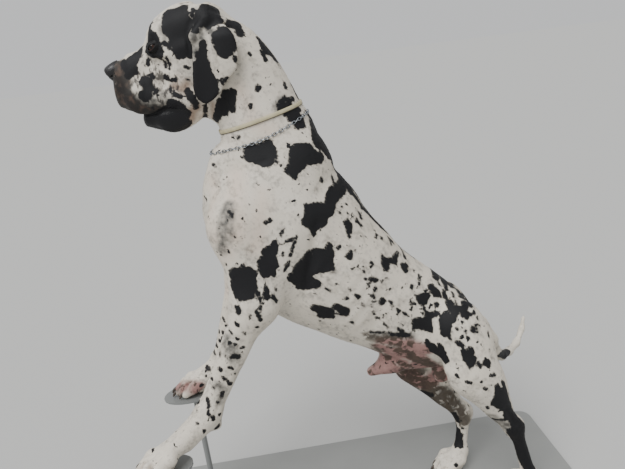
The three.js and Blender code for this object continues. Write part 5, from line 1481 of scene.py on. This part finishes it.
# Chain
# A bright steel chain of plain welded links, every other one turned on edge, loose on the base of the
# neck. Each link hangs in the next, so its pitch is its length less two wires.
LINK_LONG, LINK_WIDE, WIRE, CHAIN_OFF = 15.0, 9.5, 2.5, 3.2
CHAIN_PLANE = ((-94, 1203), (0.963, 0.27))
CHAIN_SAG, CHAIN_POINTS = 11, 200
chain_line, chain_out = round_neck(CHAIN_PLANE, CHAIN_POINTS, CHAIN_OFF, CHAIN_SAG)
chain = bpy.data.objects.new("neck_chain", bpy.data.meshes.new("neck_chain"))
bpy.context.scene.collection.objects.link(chain)
steps = [(i, (i + 1) % CHAIN_POINTS) for i in range(CHAIN_POINTS)]
chain.data.from_pydata(on_stand(chain_line).tolist(), steps, [])
keep(chain.data, "outward", chain_out, "FLOAT_VECTOR")
# Polished steel mirrors the room in grey, a little dulled by fine scratches, drawn at 3 mm so that they show.
steel, t = new_material("polished steel wire")
scratches = add(t, "ShaderNodeTexNoise", Vector=add(t, "ShaderNodeTexCoord", 3), Scale=300, Detail=4)
colour = over(scratches, linear("#6d7176"), linear("#b4b8bc"))
dulled = add(t, "ShaderNodeMapRange", Value=scratches, To_Min=0.18, To_Max=0.34)
shader = add(t, "ShaderNodeBsdfPrincipled", Base_Color=colour, Metallic=1.0, Roughness=dulled)
add(t, "ShaderNodeOutputMaterial", Surface=shader)
g, given = new_tree("links along a line", "Links", {"Line": "Geometry", "Pitch": "Float", "Long": "Float",
                                                    "Wide": "Float", "Wire": "Float", "Steel": "Material"})
path = add(g, "GeometryNodeMeshToCurve", Mesh=given["Line"])
path = add(g, "GeometryNodeResampleCurve", mode="LENGTH", Curve=path, Length=given["Pitch"])
outward = add(g, "GeometryNodeInputNamedAttribute", data_type="FLOAT_VECTOR", Name="outward")
odd = add(g, "ShaderNodeMath", operation="MODULO", _0=add(g, "GeometryNodeInputIndex"), _1=2.0)
odd = add(g, "FunctionNodeCompare", data_type="INT", operation="EQUAL", _2=odd, _3=1)
turned = add(g, "FunctionNodeAlignRotationToVector", axis="X", Vector=add(g, "GeometryNodeInputTangent"))
turned = add(g, "FunctionNodeAlignRotationToVector", axis="Z", pivot_axis="X", Rotation=turned,
             Vector=outward)
quarter = add(g, "ShaderNodeMath", operation="MULTIPLY", _0=odd, _1=math.pi / 2)
quarter = add(g, "ShaderNodeCombineXYZ", X=quarter)
turned = add(g, "FunctionNodeRotateRotation", rotation_space="LOCAL", Rotation=turned, Rotate_By=quarter)
ring = add(g, "GeometryNodeCurvePrimitiveCircle", Resolution=14, Radius=0.5)
half = add(g, "ShaderNodeMath", operation="SUBTRACT", _0=given["Long"], _1=given["Wire"])
flat = add(g, "ShaderNodeMath", operation="SUBTRACT", _0=given["Wide"], _1=given["Wire"])
ring = add(g, "GeometryNodeTransform", Geometry=ring,
           Scale=add(g, "ShaderNodeCombineXYZ", X=half, Y=flat, Z=1.0))
thin = add(g, "ShaderNodeMath", operation="MULTIPLY", _0=given["Wire"], _1=0.5)
wire = add(g, "GeometryNodeCurvePrimitiveCircle", Resolution=6, Radius=thin)
link = add(g, "GeometryNodeCurveToMesh", Curve=ring, Profile_Curve=wire)
links = add(g, "GeometryNodeInstanceOnPoints", Points=path, Instance=link, Rotation=turned)
links = add(g, "GeometryNodeRealizeInstances", Geometry=links)
links = add(g, "GeometryNodeSetMaterial", Geometry=links, Material=given["Steel"])
g.links.new(links, g.nodes.new("NodeGroupOutput").inputs["Links"])
grown(chain, g, {"Pitch": (LINK_LONG - 2 * WIRE) / 1000, "Long": LINK_LONG / 1000, "Wide": LINK_WIDE / 1000,
                 "Wire": WIRE / 1000, "Steel": steel}).shade_smooth()
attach(chain, "root")
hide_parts("collar_chain")

# Stand
# A board painted satin grey, with the grain just showing, and two steel rods in the same paint that
# stand on round feet and end in the pads that carry the raised forepaws.
painted_board, t = new_material("satin grey paint on board")
here = add(t, "ShaderNodeTexCoord", 3)
lengthways = add(t, "ShaderNodeMapping", Vector=here, Scale=(3, 60, 60))
grain = add(t, "ShaderNodeTexNoise", Vector=lengthways, Scale=3, Detail=5)
dust = add(t, "ShaderNodeTexNoise", Vector=here, Scale=7, Detail=5)
colour = over(dust, linear("#848583"), linear("#91928f"))
grain_bump = add(t, "ShaderNodeBump", Height=grain, Distance=0.0006, Strength=0.35)
shader = add(t, "ShaderNodeBsdfPrincipled", Base_Color=colour, Roughness=0.42, Normal=grain_bump)
add(t, "ShaderNodeOutputMaterial", Surface=shader)
painted_steel, t = new_material("satin grey paint on steel")
peel = add(t, "ShaderNodeTexNoise", Vector=add(t, "ShaderNodeTexCoord", 3), Scale=500, Detail=2)
peel_bump = add(t, "ShaderNodeBump", Height=peel, Distance=0.0002, Strength=0.3)
colour = over(peel, linear("#757776"), linear("#818382"))
shader = add(t, "ShaderNodeBsdfPrincipled", Base_Color=colour, Roughness=0.36, Normal=peel_bump)
add(t, "ShaderNodeOutputMaterial", Surface=shader)
for name, paint in (("base", painted_board), ("rod_left", painted_steel), ("rod_right", painted_steel)):
    stand_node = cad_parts["stand_" + name].data
    stand_node.materials.clear()
    stand_node.materials.append(paint)

# Floor and light
# A plain pale floor that runs off without an edge, and the soft, even light of an overcast noon with the
# sun behind a thin cloud, from above the dog's left shoulder.
FLOOR_HALF, ROOM_GLOW, SUN_STRENGTH = 60, 0.7, 2.75
SUN_AT, SUN_AIM, SUN_SPREAD = Vector((-1.6, -2.2, 4.6)), Vector((0, 0, 0.8)), math.radians(38)
floor = mesh_object("floor", FLOOR_HALF * np.array([(-1, -1, 0), (1, -1, 0), (1, 1, 0), (-1, 1, 0)], float),
                    np.array([[0, 1, 2, 3]]))
# Matt all through, so it takes the shadows softly and never glares.
plaster, t = new_material("pale matt plaster")
shader = add(t, "ShaderNodeBsdfPrincipled", Base_Color=linear("#bcbcba"), Roughness=1.0,
             Specular_IOR_Level=0.0)
add(t, "ShaderNodeOutputMaterial", Surface=shader)
floor.data.materials.append(plaster)
world = bpy.data.worlds.new("room")
bpy.context.scene.world = world
world.use_nodes = True
world.node_tree.nodes["Background"].inputs["Color"].default_value = (0.98, 0.99, 1.0, 1)
world.node_tree.nodes["Background"].inputs["Strength"].default_value = ROOM_GLOW
sun = bpy.data.objects.new("veiled sun", bpy.data.lights.new("veiled sun", "SUN"))
bpy.context.scene.collection.objects.link(sun)
sun.data.energy = SUN_STRENGTH
sun.data.angle = SUN_SPREAD
sun.location = SUN_AT
sun.rotation_euler = (SUN_AIM - SUN_AT).to_track_quat("-Z", "Y").to_euler()
